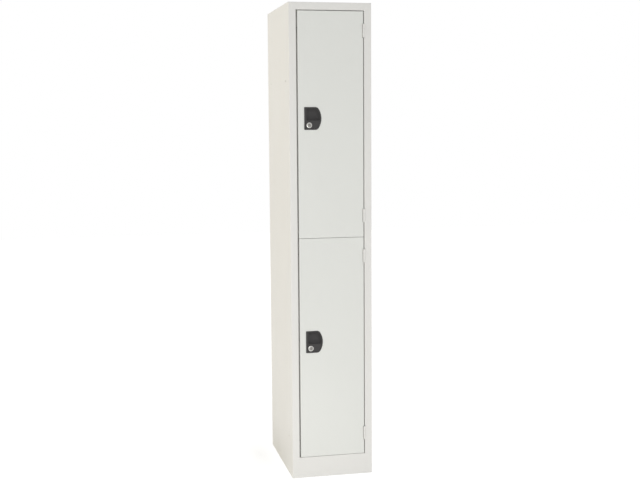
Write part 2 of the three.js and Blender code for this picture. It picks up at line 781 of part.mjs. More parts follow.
// A door with its pull, lock and hinge leaves, in the door's frame on the hinge line.
function doorGroup(name, bottom) {
  const group = new THREE.Group();
  group.position.set(hingeX, frontY - axisProud, bottom);
  const put = adderTo(group);
  put(piece(`${name}_door_panel`, doorPanel(), paint));
  put(piece(`${name}_door_stiffener`, doorStiffener(), interiorPaint));
  put(piece(`${name}_door_top_hinge_door_leaf`, hingeLeaf(-1), paint), 0, 0, doorHeight - hingeFromTop);
  put(piece(`${name}_door_bottom_hinge_door_leaf`, hingeLeaf(-1), paint), 0, 0, hingeFromBottom);
  const pull = new THREE.Group();
  pull.position.set(...cupPlace());
  pull.add(piece(`${name}_finger_pull`, fingerCup(), blackPlastic));
  pull.add(lockGroup(name));
  group.add(pull);
  return group;
}

const locker = new THREE.Group();
locker.add(cabinetGroup());
locker.add(doorGroup("upper", upperDoorZ));
locker.add(doorGroup("lower", lowerDoorZ));

export default locker;
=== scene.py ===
# %% [markdown]
# # A two-door steel locker
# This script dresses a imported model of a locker: one narrow steel cabinet with two doors set flush in its
# front, one above the other. Each door has a black moulded finger pull with a key lock in its lower corner.
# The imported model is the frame. It says where every piece is and how it moves, and this script gives each
# piece its finished surface. All lengths are in metres, the doors face -Y and +Z is up.

import json

import bpy
import numpy as np
from mathutils import Matrix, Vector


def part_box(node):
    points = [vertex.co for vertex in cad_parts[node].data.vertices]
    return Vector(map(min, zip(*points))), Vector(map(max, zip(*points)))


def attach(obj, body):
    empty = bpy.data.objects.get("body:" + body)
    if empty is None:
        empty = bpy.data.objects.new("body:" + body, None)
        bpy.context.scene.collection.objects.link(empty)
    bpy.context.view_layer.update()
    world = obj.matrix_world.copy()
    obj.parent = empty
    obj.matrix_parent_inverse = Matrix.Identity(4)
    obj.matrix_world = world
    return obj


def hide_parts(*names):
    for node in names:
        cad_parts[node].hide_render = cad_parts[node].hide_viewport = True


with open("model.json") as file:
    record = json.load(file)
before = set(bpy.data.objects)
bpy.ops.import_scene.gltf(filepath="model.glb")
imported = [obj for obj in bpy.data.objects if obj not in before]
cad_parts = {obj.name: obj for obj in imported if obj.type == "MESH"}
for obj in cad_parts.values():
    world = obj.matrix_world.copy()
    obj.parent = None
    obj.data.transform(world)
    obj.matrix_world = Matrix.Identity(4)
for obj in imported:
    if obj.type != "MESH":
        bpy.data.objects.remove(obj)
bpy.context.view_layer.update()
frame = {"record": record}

# %% [markdown]
# ## Reading the frame
# Nothing here is placed by eye. A piece's place and outer size are read from its node's box, and its body
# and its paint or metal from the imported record. Only what a box can't say, such as a bend's radius, is a
# named value beside the piece that needs it.

# %% Places, bodies and finishes of the nodes
MM = 0.001
body_of = {node: body for body, nodes in frame["record"]["behaviour"]["bodies"].items() for node in nodes}
slot_of = {part["node"]: part["material_slot"] for part in frame["record"]["subparts"]}


def corners(node):
    """Lowest and highest corner of a node at rest, as arrays."""
    low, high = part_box(node)
    return np.array(low), np.array(high)


left_low, left_high = corners("left_side_panel")
right_high = corners("right_side_panel")[1]
FACE = corners("upper_door_panel")[0][1]
print("front face at y =", round(FACE, 5), "and body", np.round(right_high[0] - left_low[0], 4), "wide")

# %% [markdown]
# ## From numbers to a mesh
# Sheet metal, turned metal and mouldings are all the same kind of surface: a closed outline that is carried
# along a path, or a row of rings, each a little different from the last. Box modelling by hand could make
# them too, but here every ring is worked out as one numpy array, so that a size can change without any
# modelling being done again. A solid is kept as its points and its faces until it becomes a mesh.


# %% Rings to a closed solid
def quads(rings, around, wrap):
    """Corner numbers of the faces between neighbouring rings. Each ring closes on itself, and with wrap the
    last ring meets the first."""
    ring = np.arange(rings if wrap else rings - 1)[:, None]
    place = np.arange(around)[None, :]
    after, beside = (ring + 1) % rings, (place + 1) % around
    four = [ring * around + place, ring * around + beside, after * around + beside, after * around + place]
    return np.stack(np.broadcast_arrays(*four), axis=-1).reshape(-1, 4)


def volume(points, faces):
    """Volume under faces: each is a fan of triangles from its first corner, and a triangle with the origin
    spans a sixth of its three corners' triple product."""
    fan = points[faces]
    first, second, third = fan[:, :1], fan[:, 1:-1], fan[:, 2:]
    return (first * np.cross(second, third)).sum() / 6


def skin(grid, wrap=False):
    """A closed solid over rings of points, grid[ring, place, xyz]. Without wrap its ends are flat faces. The
    faces point out: where the volume comes out negative, every face is turned round."""
    rings, around = grid.shape[:2]
    points = grid.reshape(-1, 3)
    groups = [quads(rings, around, wrap)]
    if not wrap:
        groups += [np.arange(around)[None, ::-1], np.arange((rings - 1) * around, rings * around)[None]]
    if sum(volume(points, group) for group in groups) < 0:
        groups = [group[:, ::-1] for group in groups]
    return points, groups


def together(*solids):
    """Several solids that don't touch, as one."""
    starts = np.cumsum([0] + [len(points) for points, _ in solids[:-1]])
    groups = [group + start for start, (_, own) in zip(starts, solids) for group in own]
    return np.concatenate([points for points, _ in solids]), groups


def to_mesh(name, solid):
    """A solid's points and faces as mesh data."""
    mesh = bpy.data.meshes.new(name)
    mesh.from_pydata(solid[0].tolist(), [], [face for group in solid[1] for face in group.tolist()])
    return mesh


# %% [markdown]
# Holes, notches and slots are cut with booleans, as a punch cuts sheet. Faces could be drawn round each hole
# instead, but then they would be drawn again whenever a hole moves. A cutter is a solid of the same kind,
# and it is thrown away afterwards. Each finished piece takes the place of its node, rides on the node's
# body, and takes its finish from the node's slot. Weighted normals keep large flat sheets flat beside their
# bends, and a narrow bevel is added only where a real edge is soft enough to catch the light.


# %% Cutting and finishing a piece
def in_scene(name, data):
    """A new object with its data, linked into the scene."""
    made = bpy.data.objects.new(name, data)
    bpy.context.scene.collection.objects.link(made)
    return made


CUT, JOIN, KEEP = "DIFFERENCE", "UNION", "INTERSECT"


def combined(base, *steps):
    """A solid after boolean steps, each (CUT, JOIN or KEEP, solid), as mesh data."""
    blank, *tools = [in_scene("cut", to_mesh("cut", solid)) for solid in [base, *[step[1] for step in steps]]]
    for (operation, _), tool in zip(steps, tools):
        step = blank.modifiers.new(operation, "BOOLEAN")
        step.operation, step.solver, step.object = operation, "EXACT", tool
    depsgraph = bpy.context.evaluated_depsgraph_get()
    mesh = bpy.data.meshes.new_from_object(blank.evaluated_get(depsgraph))
    for used in [blank, *tools]:
        data = used.data
        bpy.data.objects.remove(used)
        bpy.data.meshes.remove(data)
    return mesh


SHARP = np.radians(32)
finishes = {}


def finished(node, shape, soft_edge=0):
    """Puts a shape in the scene in its node's place, in its slot's finish. Faces that meet at less than the
    angle SHARP are shaded as one. Other edges stay sharp, or get a bevel as wide as the soft edge."""
    mesh = shape if isinstance(shape, bpy.types.Mesh) else to_mesh(node, shape)
    mesh.name = f"{node}_finished"
    mesh.polygons.foreach_set("use_smooth", np.ones(len(mesh.polygons), bool))
    piece = in_scene(mesh.name, mesh)
    mesh.materials.clear()
    mesh.materials.append(finishes[slot_of[node]])
    if soft_edge:
        bevel = piece.modifiers.new("soft edge", "BEVEL")
        bevel.width, bevel.segments = soft_edge, 2
        bevel.limit_method, bevel.angle_limit = "ANGLE", SHARP
    else:
        mesh.set_sharp_from_angle(angle=SHARP)
    level = piece.modifiers.new("flat stays flat", "WEIGHTED_NORMAL")
    level.keep_sharp = True
    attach(piece, body_of[node])
    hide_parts(node)
    print(f"{piece.name}: {len(mesh.vertices)} points, {len(mesh.polygons)} faces")


def dress(make, node, soft_edge=0):
    """Puts what a function makes for a node in that node's place."""
    finished(node, make(node), soft_edge)


# %% [markdown]
# ## Shapes that a locker is made of
# Three recipes make nearly every piece. A folded sheet is a line with an arc at each bend, thickened to both
# sides and carried straight. A pan, such as a door or a shelf, is the same folded section carried round a
# rounded rectangle. A turned part is a profile of radii and heights swung round an axis.


# %% Outlines and the ways to carry them
QUARTER = np.pi / 2
SMALLEST_CORNER = 0.3 * MM


def arc(centre, radius, start, end, steps):
    """Points of an arc: the centre plus the radius in each direction from the start to the end angle."""
    angle = np.linspace(start, end, steps + 1)
    return np.asarray(centre) + radius * np.stack([np.cos(angle), np.sin(angle)], axis=-1)


def folded(line, thickness, radius, steps=8):
    """Closed outline of a folded sheet whose middle line runs through given corners. At each corner the
    heading turns evenly from the incoming to the outgoing one, the arc's centre lies one radius to the
    inside, and the sheet's two faces lie half its thickness to the left and right of the middle."""
    line = np.asarray(line, float)
    run = np.diff(line, axis=0)
    heading = run / np.linalg.norm(run, axis=1, keepdims=True)
    left = np.stack([-heading[:, 1], heading[:, 0]], axis=-1)
    before, after, side = heading[:-1], heading[1:], left[:-1]
    turn = np.arctan2((side * after).sum(axis=1), (before * after).sum(axis=1))
    start = line[1:-1] - before * (radius * np.tan(np.abs(turn) / 2))[:, None]
    inward = (np.sign(turn) * radius)[:, None]
    centre = start + side * inward
    angle = (turn[:, None] * np.linspace(0, 1, steps + 1))[..., None]
    normal = side[:, None] * np.cos(angle) - before[:, None] * np.sin(angle)
    bend = centre[:, None] - normal * inward[:, None]
    middle = np.concatenate([line[:1], bend.reshape(-1, 2), line[-1:]])
    normal = np.concatenate([left[:1], normal.reshape(-1, 2), left[-1:]]) * thickness / 2
    return np.concatenate([middle + normal, (middle - normal)[::-1]])


def placed(flat, axis, value):
    """Points of a flat figure with their third coordinate put in at an axis, 0 to 2."""
    parts = [flat[..., 0], flat[..., 1]]
    parts.insert(axis, np.broadcast_to(value, flat.shape[:-1]))
    return np.stack(parts, axis=-1)


def carried(outline, axis, low, high):
    """An outline carried straight along an axis from low to high."""
    return skin(np.stack([placed(np.asarray(outline), axis, end) for end in (low, high)]))


def block(one, other):
    """A box between two opposite corners, for cutting, joining or a flat sheet."""
    (x0, y0, z0), (x1, y1, z1) = np.sort([one, other], axis=0)
    return carried([[x0, y0], [x1, y0], [x1, y1], [x0, y1]], 2, z0, z1)


# %% Turned parts and pans
def turned(radius, height, centre, axis=1, around=48, wrap=False):
    """A profile swung round an axis: point k runs round a circle of radius[k] at height[k] along the axis,
    all shifted to the centre. A radius may also differ from place to place round its circle."""
    angle = np.arange(around) * 2 * np.pi / around
    radius = np.asarray(radius, float).reshape(len(height), -1, 1)
    circle = radius * np.stack([np.cos(angle), np.sin(angle)], axis=-1)
    return skin(placed(circle, axis, np.asarray(height)[:, None]) + np.asarray(centre), wrap)


def drawn_in(low, high, inset, corner, steps=6):
    """Rounded rectangles, one for each inset. A corner's arc is centred one corner radius inside the drawn-in
    sides, and the rectangle's four arcs follow each other a quarter turn apart."""
    angle = (np.arange(4)[:, None] * QUARTER + np.linspace(0, QUARTER, steps + 1)).ravel()
    toward = np.repeat([[1, 1], [-1, 1], [-1, -1], [1, -1]], steps + 1, axis=0)
    around = np.stack([np.cos(angle), np.sin(angle)], axis=-1)
    reach = (high - low) / 2 - (inset + corner)[:, None]
    return (low + high) / 2 + toward * reach[:, None] + around * corner[:, None, None]


def pan(low, high, section, axis, face, inward, corner):
    """A folded section carried round a rounded rectangle in the plane square to an axis. A section point's
    first value is how far it is drawn in from the rectangle, its second how deep it lies behind the face."""
    inset, depth = section[:, 0], section[:, 1]
    rings = drawn_in(low, high, inset, np.maximum(corner - inset, SMALLEST_CORNER))
    return skin(placed(rings, axis, (face + inward * depth)[:, None]))


# %% [markdown]
# ## Finishes
# The steel is powder coated in a very light grey. Powder flows out into a satin skin with a faint orange
# peel of a few millimetres, so the paint is a smooth shader with a fine bump and a roughness that drifts a
# little. A photo texture could do this, but noise on object coordinates has no seams, needs no picture and
# stays on the piece when it moves. The pull is spark-eroded charcoal plastic, the lock nickel plated, the
# cam, nuts and hooks zinc plated, and the buffers plain rubber.


# %% Shader nodes and colours
def set_inputs(tree, node, inputs):
    """Gives each of a node's inputs a value, or links it where it is given an output."""
    for name, value in inputs.items():
        if isinstance(value, bpy.types.NodeSocket):
            tree.links.new(value, node.inputs[name])
        else:
            node.inputs[name].default_value = value


def add_node(tree, kind, inputs, **settings):
    """A new shader node with its settings and inputs."""
    node = tree.nodes.new(f"ShaderNode{kind}")
    for name, value in settings.items():
        setattr(node, name, value)
    set_inputs(tree, node, inputs)
    return node


def linear(shown):
    """A colour written as it shows on a screen, 0 to 255, as the light values that shaders use. The screen's
    curve is straight for dark tones and a power of 2.4 above them."""
    shown = np.array(shown) / 255
    return tuple(np.where(shown > 0.04045, ((shown + 0.055) / 1.055) ** 2.4, shown / 12.92))


# %% Finishes with a fine bump and a drifting roughness
NOISE_LOW, NOISE_HIGH = 0.3, 0.7
SLOW_DETAIL, FINE_DETAIL = 3.0, 2.0
PEEL_HEIGHT = 0.1 * MM


def finish(slot, shown, drift, roughness, metallic=0.0, grain=900.0, bump=0.1, patch=6.0, ior=1.5):
    """A procedural finish. Its colour lies between two near tones and its roughness in a range, both after a
    slow noise, and a fine noise raises the surface. drift is how far each tone lies from the colour, as a
    share of it."""
    material = bpy.data.materials.new(slot)
    material.use_nodes = True
    tree = material.node_tree
    place = add_node(tree, "TexCoord", {}).outputs["Object"]
    slow, fine = [
        add_node(tree, "TexNoise", {"Vector": place, "Scale": scale, "Detail": detail}).outputs["Fac"]
        for scale, detail in ((patch, SLOW_DETAIL), (grain, FINE_DETAIL))
    ]
    tone = add_node(tree, "ValToRGB", {"Fac": slow})
    ends = ((NOISE_LOW, 1 - drift), (NOISE_HIGH, 1 + drift))
    for element, (position, share) in zip(tone.color_ramp.elements, ends):
        element.position = position
        element.color = (*[min(channel * share, 1) for channel in linear(shown)], 1)
    gloss = add_node(tree, "MapRange", {"Value": slow, "From Min": NOISE_LOW, "From Max": NOISE_HIGH})
    set_inputs(tree, gloss, {"To Min": roughness[0], "To Max": roughness[1]})
    peel = add_node(tree, "Bump", {"Height": fine, "Strength": bump, "Distance": PEEL_HEIGHT})
    look = {"Metallic": metallic, "IOR": ior, "Base Color": tone.outputs["Color"]}
    look |= {"Roughness": gloss.outputs["Result"], "Normal": peel.outputs["Normal"]}
    set_inputs(tree, tree.nodes["Principled BSDF"], look)
    return material


# Colour as shown, drift, roughness from and to, metallic, grain, bump, patch, index of refraction
LOOKS = {
    "cabinet_paint": ((223.8, 222.7, 219), 0.006, (0.38, 0.46)),
    "door_paint": ((221, 222, 217.5), 0.005, (0.36, 0.44)),
    "interior_paint": ((220, 219, 214), 0.01, (0.42, 0.5)),
    "pull_plastic": ((64, 63, 63), 0.05, (0.5, 0.6), 0.0, 2600.0, 0.35, 60.0, 1.3),
    "lock_chrome": ((182, 181, 177), 0.02, (0.16, 0.26), 1.0, 1400.0, 0.04, 200.0),
    "lock_plug_metal": ((138, 136, 132), 0.04, (0.3, 0.42), 1.0, 1800.0, 0.1, 300.0),
    "zinc_plated_steel": ((186, 190, 194), 0.08, (0.28, 0.4), 1.0, 700.0, 0.06, 90.0),
    "buffer_rubber": ((38, 38, 39), 0.06, (0.7, 0.85), 0.0, 1200.0, 0.3, 200.0),
}
for slot, look in LOOKS.items():
    finishes[slot] = finish(slot, *look)
print("finishes:", ", ".join(finishes))

# %% [markdown]
# ## Hinge lines and bolt holes
# Four hinges hang the two doors. Each needs room in the door's edge and in the right stile, so the steel is
# notched there. The notches could be drawn into those edges, but a cutter measured from the hinge's pin
# fits both of them at once. The side panels also have clearance holes for bolting lockers together in a row.

# %% Notches and holes
DOORS, ENDS = ("upper", "lower"), ("top", "bottom")
HINGES = [f"{door}_door_{end}_hinge" for door in DOORS for end in ENDS]
BARREL = 4.49 * MM
NOTCH_CLEARANCE = 0.8 * MM
DOOR_CLEARANCE, FRAME_CLEARANCE = 1.1 * MM, 0.3 * MM
OVERRUN = 6 * MM


def hinge_axis(hinge):
    """The point on a hinge's pin line at the middle of its height."""
    low, high = corners(f"{hinge}_frame_leaf")
    pin_low, pin_high = corners(f"{hinge}_pin")
    return np.array([*(pin_low + pin_high)[:2] / 2, (low[2] + high[2]) / 2])


def hinge_notch(hinge):
    """The room round a hinge's barrel, open to the front. The stile doesn't move, so it fits the barrel more
    closely than the door does."""
    low, high = corners(f"{hinge}_frame_leaf")
    axis = hinge_axis(hinge)
    left, right = axis[0] - BARREL - DOOR_CLEARANCE, axis[0] + BARREL + FRAME_CLEARANCE
    foot, top = low[2] - NOTCH_CLEARANCE, high[2] + NOTCH_CLEARANCE
    return block([left, axis[1] - OVERRUN, foot], [right, axis[1] + BARREL + NOTCH_CLEARANCE, top])


def punched(radius, centre, axis, reach=OVERRUN):
    """A round punch through a sheet, along an axis."""
    return turned([radius, radius], [-reach, reach], centre, axis, around=32)


notches = {hinge: hinge_notch(hinge) for hinge in HINGES}
print("hinge line at x, y =", np.round(hinge_axis(HINGES[0])[:2], 5))

# %% [markdown]
# ## Cabinet sides
# Each side is one sheet folded into five faces: a flange behind for the back panel, the broad side, the
# front stile, its return into the doorway and the flange that a shut door meets. A box with bevelled edges
# could stand for it while the doors are shut. One section carried up makes all five instead, with a real
# radius at every fold, because it is the soft line of light along a fold that tells the eye the cabinet is
# bent from sheet. A strip turned in at the foot stands on the floor. Beside the rail and the plinth the
# stile's bend is cut away, so that those two run on flush over it.

# %% Side panels
SHEET = 0.9 * MM
BEND = 1.6 * MM
STOP_WIDTH = 12 * MM
STOP_DEPTH = 22 * MM
REAR_FLANGE = 15 * MM
BASE_FLANGE = 15 * MM
BASE_SETBACK = 30 * MM
# Radii of the clearance holes, and how far they lie from the front, the back, the roof's top and the floor
FRONT_HOLE, BACK_HOLE = 4 * MM, 2.5 * MM
NEST_FRONT, NEST_BACK, NEST_TOP, NEST_FOOT = 68 * MM, 76 * MM, 283 * MM, 149 * MM
half_body = right_high[0]
side_top = left_high[2]
back_y = left_high[1]
roof_top = corners("top_panel")[1][2]
# Left between neighbouring sheets, and where a tab of the rail or the plinth ends against a stile
SEAM, BUTT = 0.2 * MM, 0.1 * MM
plinth_low, plinth_high = corners("plinth_front")
doorway_half = plinth_high[0] + SEAM
# Where the middle of the sheet lies in Y, in the front and in the stop flange
front_sheet, stop_sheet = FACE + SHEET / 2, FACE + STOP_DEPTH - SHEET / 2
rail_foot = corners("top_panel")[0][2] + STOP_WIDTH
BEND_OUTSIDE = BEND + SHEET / 2
# Heights over which the plinth and the rail run on over the stiles
beside_plinth = (0, plinth_high[2] - BEND_OUTSIDE)
beside_rail = (rail_foot + BEND_OUTSIDE, side_top)


def over_bend(side, heights, depths, gap=0.0):
    """A block where a stile bends into the doorway, over a range of heights and of depths behind the face. It
    ends where the bend does, less a gap."""
    near, far = side * (doorway_half - MM), side * (doorway_half + BEND_OUTSIDE - gap)
    return block([near, FACE + depths[0], heights[0]], [far, FACE + depths[1], heights[1]])


def side_panel(side):
    """One side of the cabinet; side is -1 for the left and 1 for the right. Beside the rail and the plinth
    the stile's bend is cut away, since they run on over it there and are ground flush."""
    skin_x, edge_x = half_body - SHEET / 2, doorway_half + SHEET / 2
    line = [
        [half_body - REAR_FLANGE, back_y - SHEET / 2],
        [skin_x, back_y - SHEET / 2],
        [skin_x, front_sheet],
        [edge_x, front_sheet],
        [edge_x, stop_sheet],
        [doorway_half - STOP_WIDTH, stop_sheet],
    ]
    fold = folded(np.array(line) * [side, 1], SHEET, BEND)
    foot_end = [side * skin_x, back_y - BASE_SETBACK, SHEET]
    foot = block([side * (half_body - BASE_FLANGE), FACE + BASE_SETBACK, 0], foot_end)
    holes = [
        punched(radius, [side * half_body, y, z], axis=0)
        for radius, y in ((FRONT_HOLE, FACE + NEST_FRONT), (BACK_HOLE, back_y - NEST_BACK))
        for z in (roof_top - NEST_TOP, NEST_FOOT)
    ]
    laps = [
        over_bend(side, (low, high), (-MM, BEND_OUTSIDE))
        for low, high in ((-MM, beside_plinth[1]), (beside_rail[0], side_top + MM))
    ]
    cuts = together(*holes, *laps, *(notches.values() if side > 0 else []))
    return combined(carried(fold, 2, 0, side_top), (JOIN, foot), (CUT, cuts))


def flush_tabs(heights):
    """The strips with which a rail or a plinth runs on over the bends of the two stiles."""
    return together(*[over_bend(side, heights, (0, SHEET), BUTT) for side in (-1, 1)])


finished("left_side_panel", side_panel(-1))
finished("right_side_panel", side_panel(1))

# %% [markdown]
# ## Roof, plinth and back
# The roof covers the whole cabinet and folds down in front as the rail above the upper door. Its front edge
# is rounded by the same bend as the stiles, so light runs round the doorway without a break. The plinth
# fills the front below the lower door, folded back at its top. The back is a flat sheet behind everything,
# with two holes for wall screws. Plain blocks could stand for all three, but only the back is really flat,
# so the other two are folded sections.

# %% Top panel
TOP_LIP = 15 * MM
TOP_LIP_SETBACK = 30 * MM
rail_half = doorway_half - SEAM
stop_half = rail_half - STOP_WIDTH
inner_half = half_body - SHEET - SEAM
back_low, back_high = corners("back_panel")


def top_panel():
    """The roof slab, a section with a rounded front edge carried across, joined to the folded front rail and
    to the lips turned down inside the sides and the back."""
    line = [
        [FACE + STOP_DEPTH, roof_top - SHEET / 2],
        [front_sheet, roof_top - SHEET / 2],
        [front_sheet, rail_foot + SHEET / 2],
        [stop_sheet, rail_foot + SHEET / 2],
        [stop_sheet, rail_foot - STOP_WIDTH],
    ]
    rail = carried(folded(line, SHEET, BEND), 0, -rail_half, rail_half)
    cut_y, cut_top = FACE + STOP_DEPTH - SHEET - BEND, (roof_top + rail_foot) / 2
    corner_cuts = [
        block([low, cut_y, 0], [high, back_y, cut_top])
        for low, high in ((-half_body, -stop_half), (stop_half, half_body))
    ]
    lowest = np.arcsin((BEND_OUTSIDE - SHEET) / BEND_OUTSIDE)
    edge = arc([FACE + BEND_OUTSIDE, roof_top - BEND_OUTSIDE], BEND_OUTSIDE, QUARTER, np.pi - lowest, steps=8)
    section = [[back_y, roof_top - SHEET], [back_y, roof_top], *edge]
    roof = carried(section, 0, -half_body, half_body)
    lip_back = back_low[1] - SEAM
    lip_front, lip_foot = FACE + TOP_LIP_SETBACK, roof_top - TOP_LIP
    lips = block([-inner_half, lip_front, lip_foot], [inner_half, lip_back, roof_top - SHEET / 2])
    hollow_low = [SHEET - inner_half, lip_front - OVERRUN, lip_foot - OVERRUN]
    hollow = block(hollow_low, [inner_half - SHEET, lip_back - SHEET, roof_top - SHEET])
    cuts = (CUT, together(*corner_cuts))
    steps = [(JOIN, flush_tabs(beside_rail)), cuts, (JOIN, roof), (JOIN, lips)]
    return combined(rail, *steps, (CUT, hollow))


finished("top_panel", top_panel())

# %% Plinth and back panel
PLINTH_LIP = 12 * MM
WALL_RADIUS = 4 * MM
WALL_TOP = 120 * MM
WALL_SPACING = 160 * MM
plinth_back = FACE + STOP_DEPTH - SHEET - BEND
plinth_line = [
    [front_sheet, plinth_low[2]],
    [front_sheet, plinth_high[2] - SHEET / 2],
    [plinth_back, plinth_high[2] - SHEET / 2],
    [plinth_back, plinth_high[2] - PLINTH_LIP],
]
plinth = carried(folded(plinth_line, SHEET, BEND), 0, plinth_low[0], plinth_high[0])
finished("plinth_front", combined(plinth, (JOIN, flush_tabs(beside_plinth))))
wall_holes = [
    punched(WALL_RADIUS, [x, back_low[1], roof_top - WALL_TOP], axis=1)
    for x in (-WALL_SPACING / 2, WALL_SPACING / 2)
]
finished("back_panel", combined(block(back_low, back_high), (CUT, together(*wall_holes))))

# %% [markdown]
# ## Shelves
# The floor of each compartment is a shallow pan turned upside down: a flat top with four lips folded down.
# A board would look alike from above, but the lips and the hollow show from below. It is the same recipe as
# a door, a folded section carried round a rectangle, only without the second fold.

# %% Shelves
SHELF_CORNER = 1.2 * MM
FACE_STRIP = 20 * MM


def shelf(node):
    """A pan upside down: its face is the node's top and its lips reach down to the node's foot."""
    low, high = corners(node)
    line = [[FACE_STRIP, SHEET / 2], [SHEET / 2, SHEET / 2], [SHEET / 2, high[2] - low[2]]]
    return pan(low[:2], high[:2], folded(line, SHEET, BEND), 2, high[2], -1, SHELF_CORNER)


dress(shelf, "middle_shelf")
dress(shelf, "bottom_shelf")

# %% [markdown]
# ## Doors
# A door is a deeper pan: face, edge and a lip turned in behind, all from one sheet, with edges rounded by
# the press. It is cut for the pull and notched for its two hinges. A hat-shaped strip welded inside keeps
# the tall face from drumming. A plain slab with bevelled edges would look alike while shut, but the doors
# open, and then the lips, the hollow and the strip show.

# %% Door pans and their stiffeners
DOOR_SHEET = 1.2 * MM
DOOR_EDGE = 1.6 * MM
DOOR_LIP = 10 * MM
DOOR_CORNER = 1.8 * MM
STIFFENER_CROWN = 34 * MM


def door_pan(node, cutout):
    """A door's folded section carried round its outline, then cut for the pull and the hinges."""
    low, high = corners(node)
    depth = high[1] - low[1]
    line = [
        [FACE_STRIP, DOOR_SHEET / 2],
        [DOOR_SHEET / 2, DOOR_SHEET / 2],
        [DOOR_SHEET / 2, depth - DOOR_SHEET / 2],
        [DOOR_LIP, depth - DOOR_SHEET / 2],
    ]
    section = folded(line, DOOR_SHEET, DOOR_EDGE - DOOR_SHEET / 2)
    shell = pan(low[[0, 2]], high[[0, 2]], section, 1, low[1], 1, DOOR_CORNER)
    own = [notch for hinge, notch in notches.items() if low[2] < hinge_axis(hinge)[2] < high[2]]
    return combined(shell, (CUT, together(*own)), (CUT, cutout))


def stiffener(node):
    """A hat section carried up the door: two feet on the skin and a crown behind them."""
    low, high = corners(node)
    middle, foot, crown = (low[0] + high[0]) / 2, low[1] + SHEET / 2, high[1] - SHEET / 2
    inner = STIFFENER_CROWN / 2
    line = [
        [low[0], foot], [middle - inner, foot], [middle - inner, crown],
        [middle + inner, crown], [middle + inner, foot], [high[0], foot],
    ]
    return carried(folded(line, SHEET, BEND), 2, low[2], high[2])


# %% [markdown]
# ## Finger pulls
# The pull is one moulding: a D-shaped flange on the door's face, a pocket for the fingers in its upper part
# with a lip along the left to pull on, and a sunk pad for the lock below a thin bar. All of its outlines are
# the same D, drawn in by different amounts and cut off at different heights, so one function draws them all
# and lofts between them make the flange, the pocket and the pad. Modelling the D by hand and bevelling it
# would lose the true arcs that the light shows up on black plastic.

# %% The D outline and lofts of it
PULL_PROUD = 2 * MM
PULL_BULGE = 65 * MM
PULL_CORNER = 15 * MM
PULL_LEFT_CORNER = 2.5 * MM
PULL_EDGE = 1.1 * MM
PULL_OVERLAP = 3.5 * MM
CUTOUT_CLEARANCE = 0.3 * MM
LEAST_CORNER = 1 * MM
pull_low, pull_high = corners("upper_finger_pull")
pull_half = (pull_high - pull_low)[[0, 2]] / 2
pull_depth = pull_high[1] - FACE


def d_rings(inset, left=None, bottom=None, top=None, corner=None, steps=10):
    """D outlines in X and Z about the D's middle, one for each inset. Five arcs follow each other: the lower
    right corner, the long bulge, the upper right corner and the two left ones. A right corner's centre lies
    its own radius inside the top or bottom edge, where it touches the bulge from within, and the angle at
    which they touch is where one arc ends and the next begins."""
    inset = np.asarray(inset, float)
    half_width, half_height = pull_half
    left = (-half_width if left is None else left) + inset
    low = (-half_height if bottom is None else bottom) + inset
    high = (half_height if top is None else top) - inset
    bulge = PULL_BULGE - inset

    def rounding(radius, own):
        """Corner radii: the D's own, drawn in with it, or the one given for a cut-off corner."""
        return np.maximum(radius - inset, LEAST_CORNER) if own else np.full_like(inset, corner)

    low_radius = rounding(PULL_CORNER, bottom is None)
    high_radius = rounding(PULL_CORNER, top is None)
    left_radius = rounding(PULL_LEFT_CORNER, corner is None)
    bulge_x = half_width - inset - bulge
    low_z, high_z = low + low_radius, high - high_radius
    low_x = bulge_x + np.sqrt((bulge - low_radius) ** 2 - low_z**2)
    high_x = bulge_x + np.sqrt((bulge - high_radius) ** 2 - high_z**2)
    low_lean, high_lean = np.arctan2(low_z, low_x - bulge_x), np.arctan2(high_z, high_x - bulge_x)
    quarter = np.full_like(inset, QUARTER)
    arcs = [
        (low_x, low_z, low_radius, -quarter, low_lean),
        (bulge_x, 0 * inset, bulge, low_lean, high_lean),
        (high_x, high_z, high_radius, high_lean, quarter),
        (left + left_radius, high - left_radius, left_radius, quarter, 2 * quarter),
        (left + left_radius, low + left_radius, left_radius, 2 * quarter, 3 * quarter),
    ]
    share = np.linspace(0, 1, steps + 1)
    parts = []
    for index, (x, z, radius, start, end) in enumerate(arcs):
        angle = start[:, None] + (end - start)[:, None] * (share[1:-1] if index == 1 else share)
        ring = np.stack([np.cos(angle), np.sin(angle)], axis=-1) * radius[:, None, None]
        parts.append(ring + np.stack([x, z], axis=-1)[:, None])
    return np.concatenate(parts, axis=1)


def lofted(stations, middle, **shape):
    """A solid through D outlines at stations of (inset, depth behind the face)."""
    inset, depth = np.asarray(stations, float).T
    return skin(placed(d_rings(inset, **shape), 1, depth[:, None]) + middle)


def on_face(node):
    """The middle of a node as seen from the front, on the doors' face."""
    low, high = corners(node)
    return np.array([(low[0] + high[0]) / 2, FACE, (low[2] + high[2]) / 2])


def lock_axis(node):
    """Where the axis of the lock in a node's own door meets that door's face."""
    return on_face(f"{node.split('_')[0]}_lock_housing")


# %% The moulding
POCKET_WALL = 1.8 * MM
WALL_INSET = PULL_OVERLAP + POCKET_WALL
POCKET_FLOOR = 12 * MM
POCKET_ROUND = 3 * MM
POCKET_CORNER = 2 * MM
SCOOP_SIDE, SCOOP_FOOT = 17 * MM, 20 * MM
LIP_REACH = 9 * MM
LIP_BACK, SCOOP_START = 1 * MM, 2 * MM
MOUTH_ROUND = 1.3 * MM
LEDGE = 7 * MM
LEDGE_BAR = 2.4 * MM
RIM = 4.2 * MM
PAD_SUNK = 1 * MM
PAD_THICKNESS = 3 * MM
PAD_CORNER = 1.5 * MM
FOOT_ROUND = 1.5 * MM
LOCK_HOLE = 9.3 * MM
LUG_LENGTH, LUG_FRONT, LUG_HEIGHT = 12 * MM, 1.5 * MM, 2.5 * MM
LUG_REACH = 1.6 * MM
PULL_SOFT = 0.3 * MM


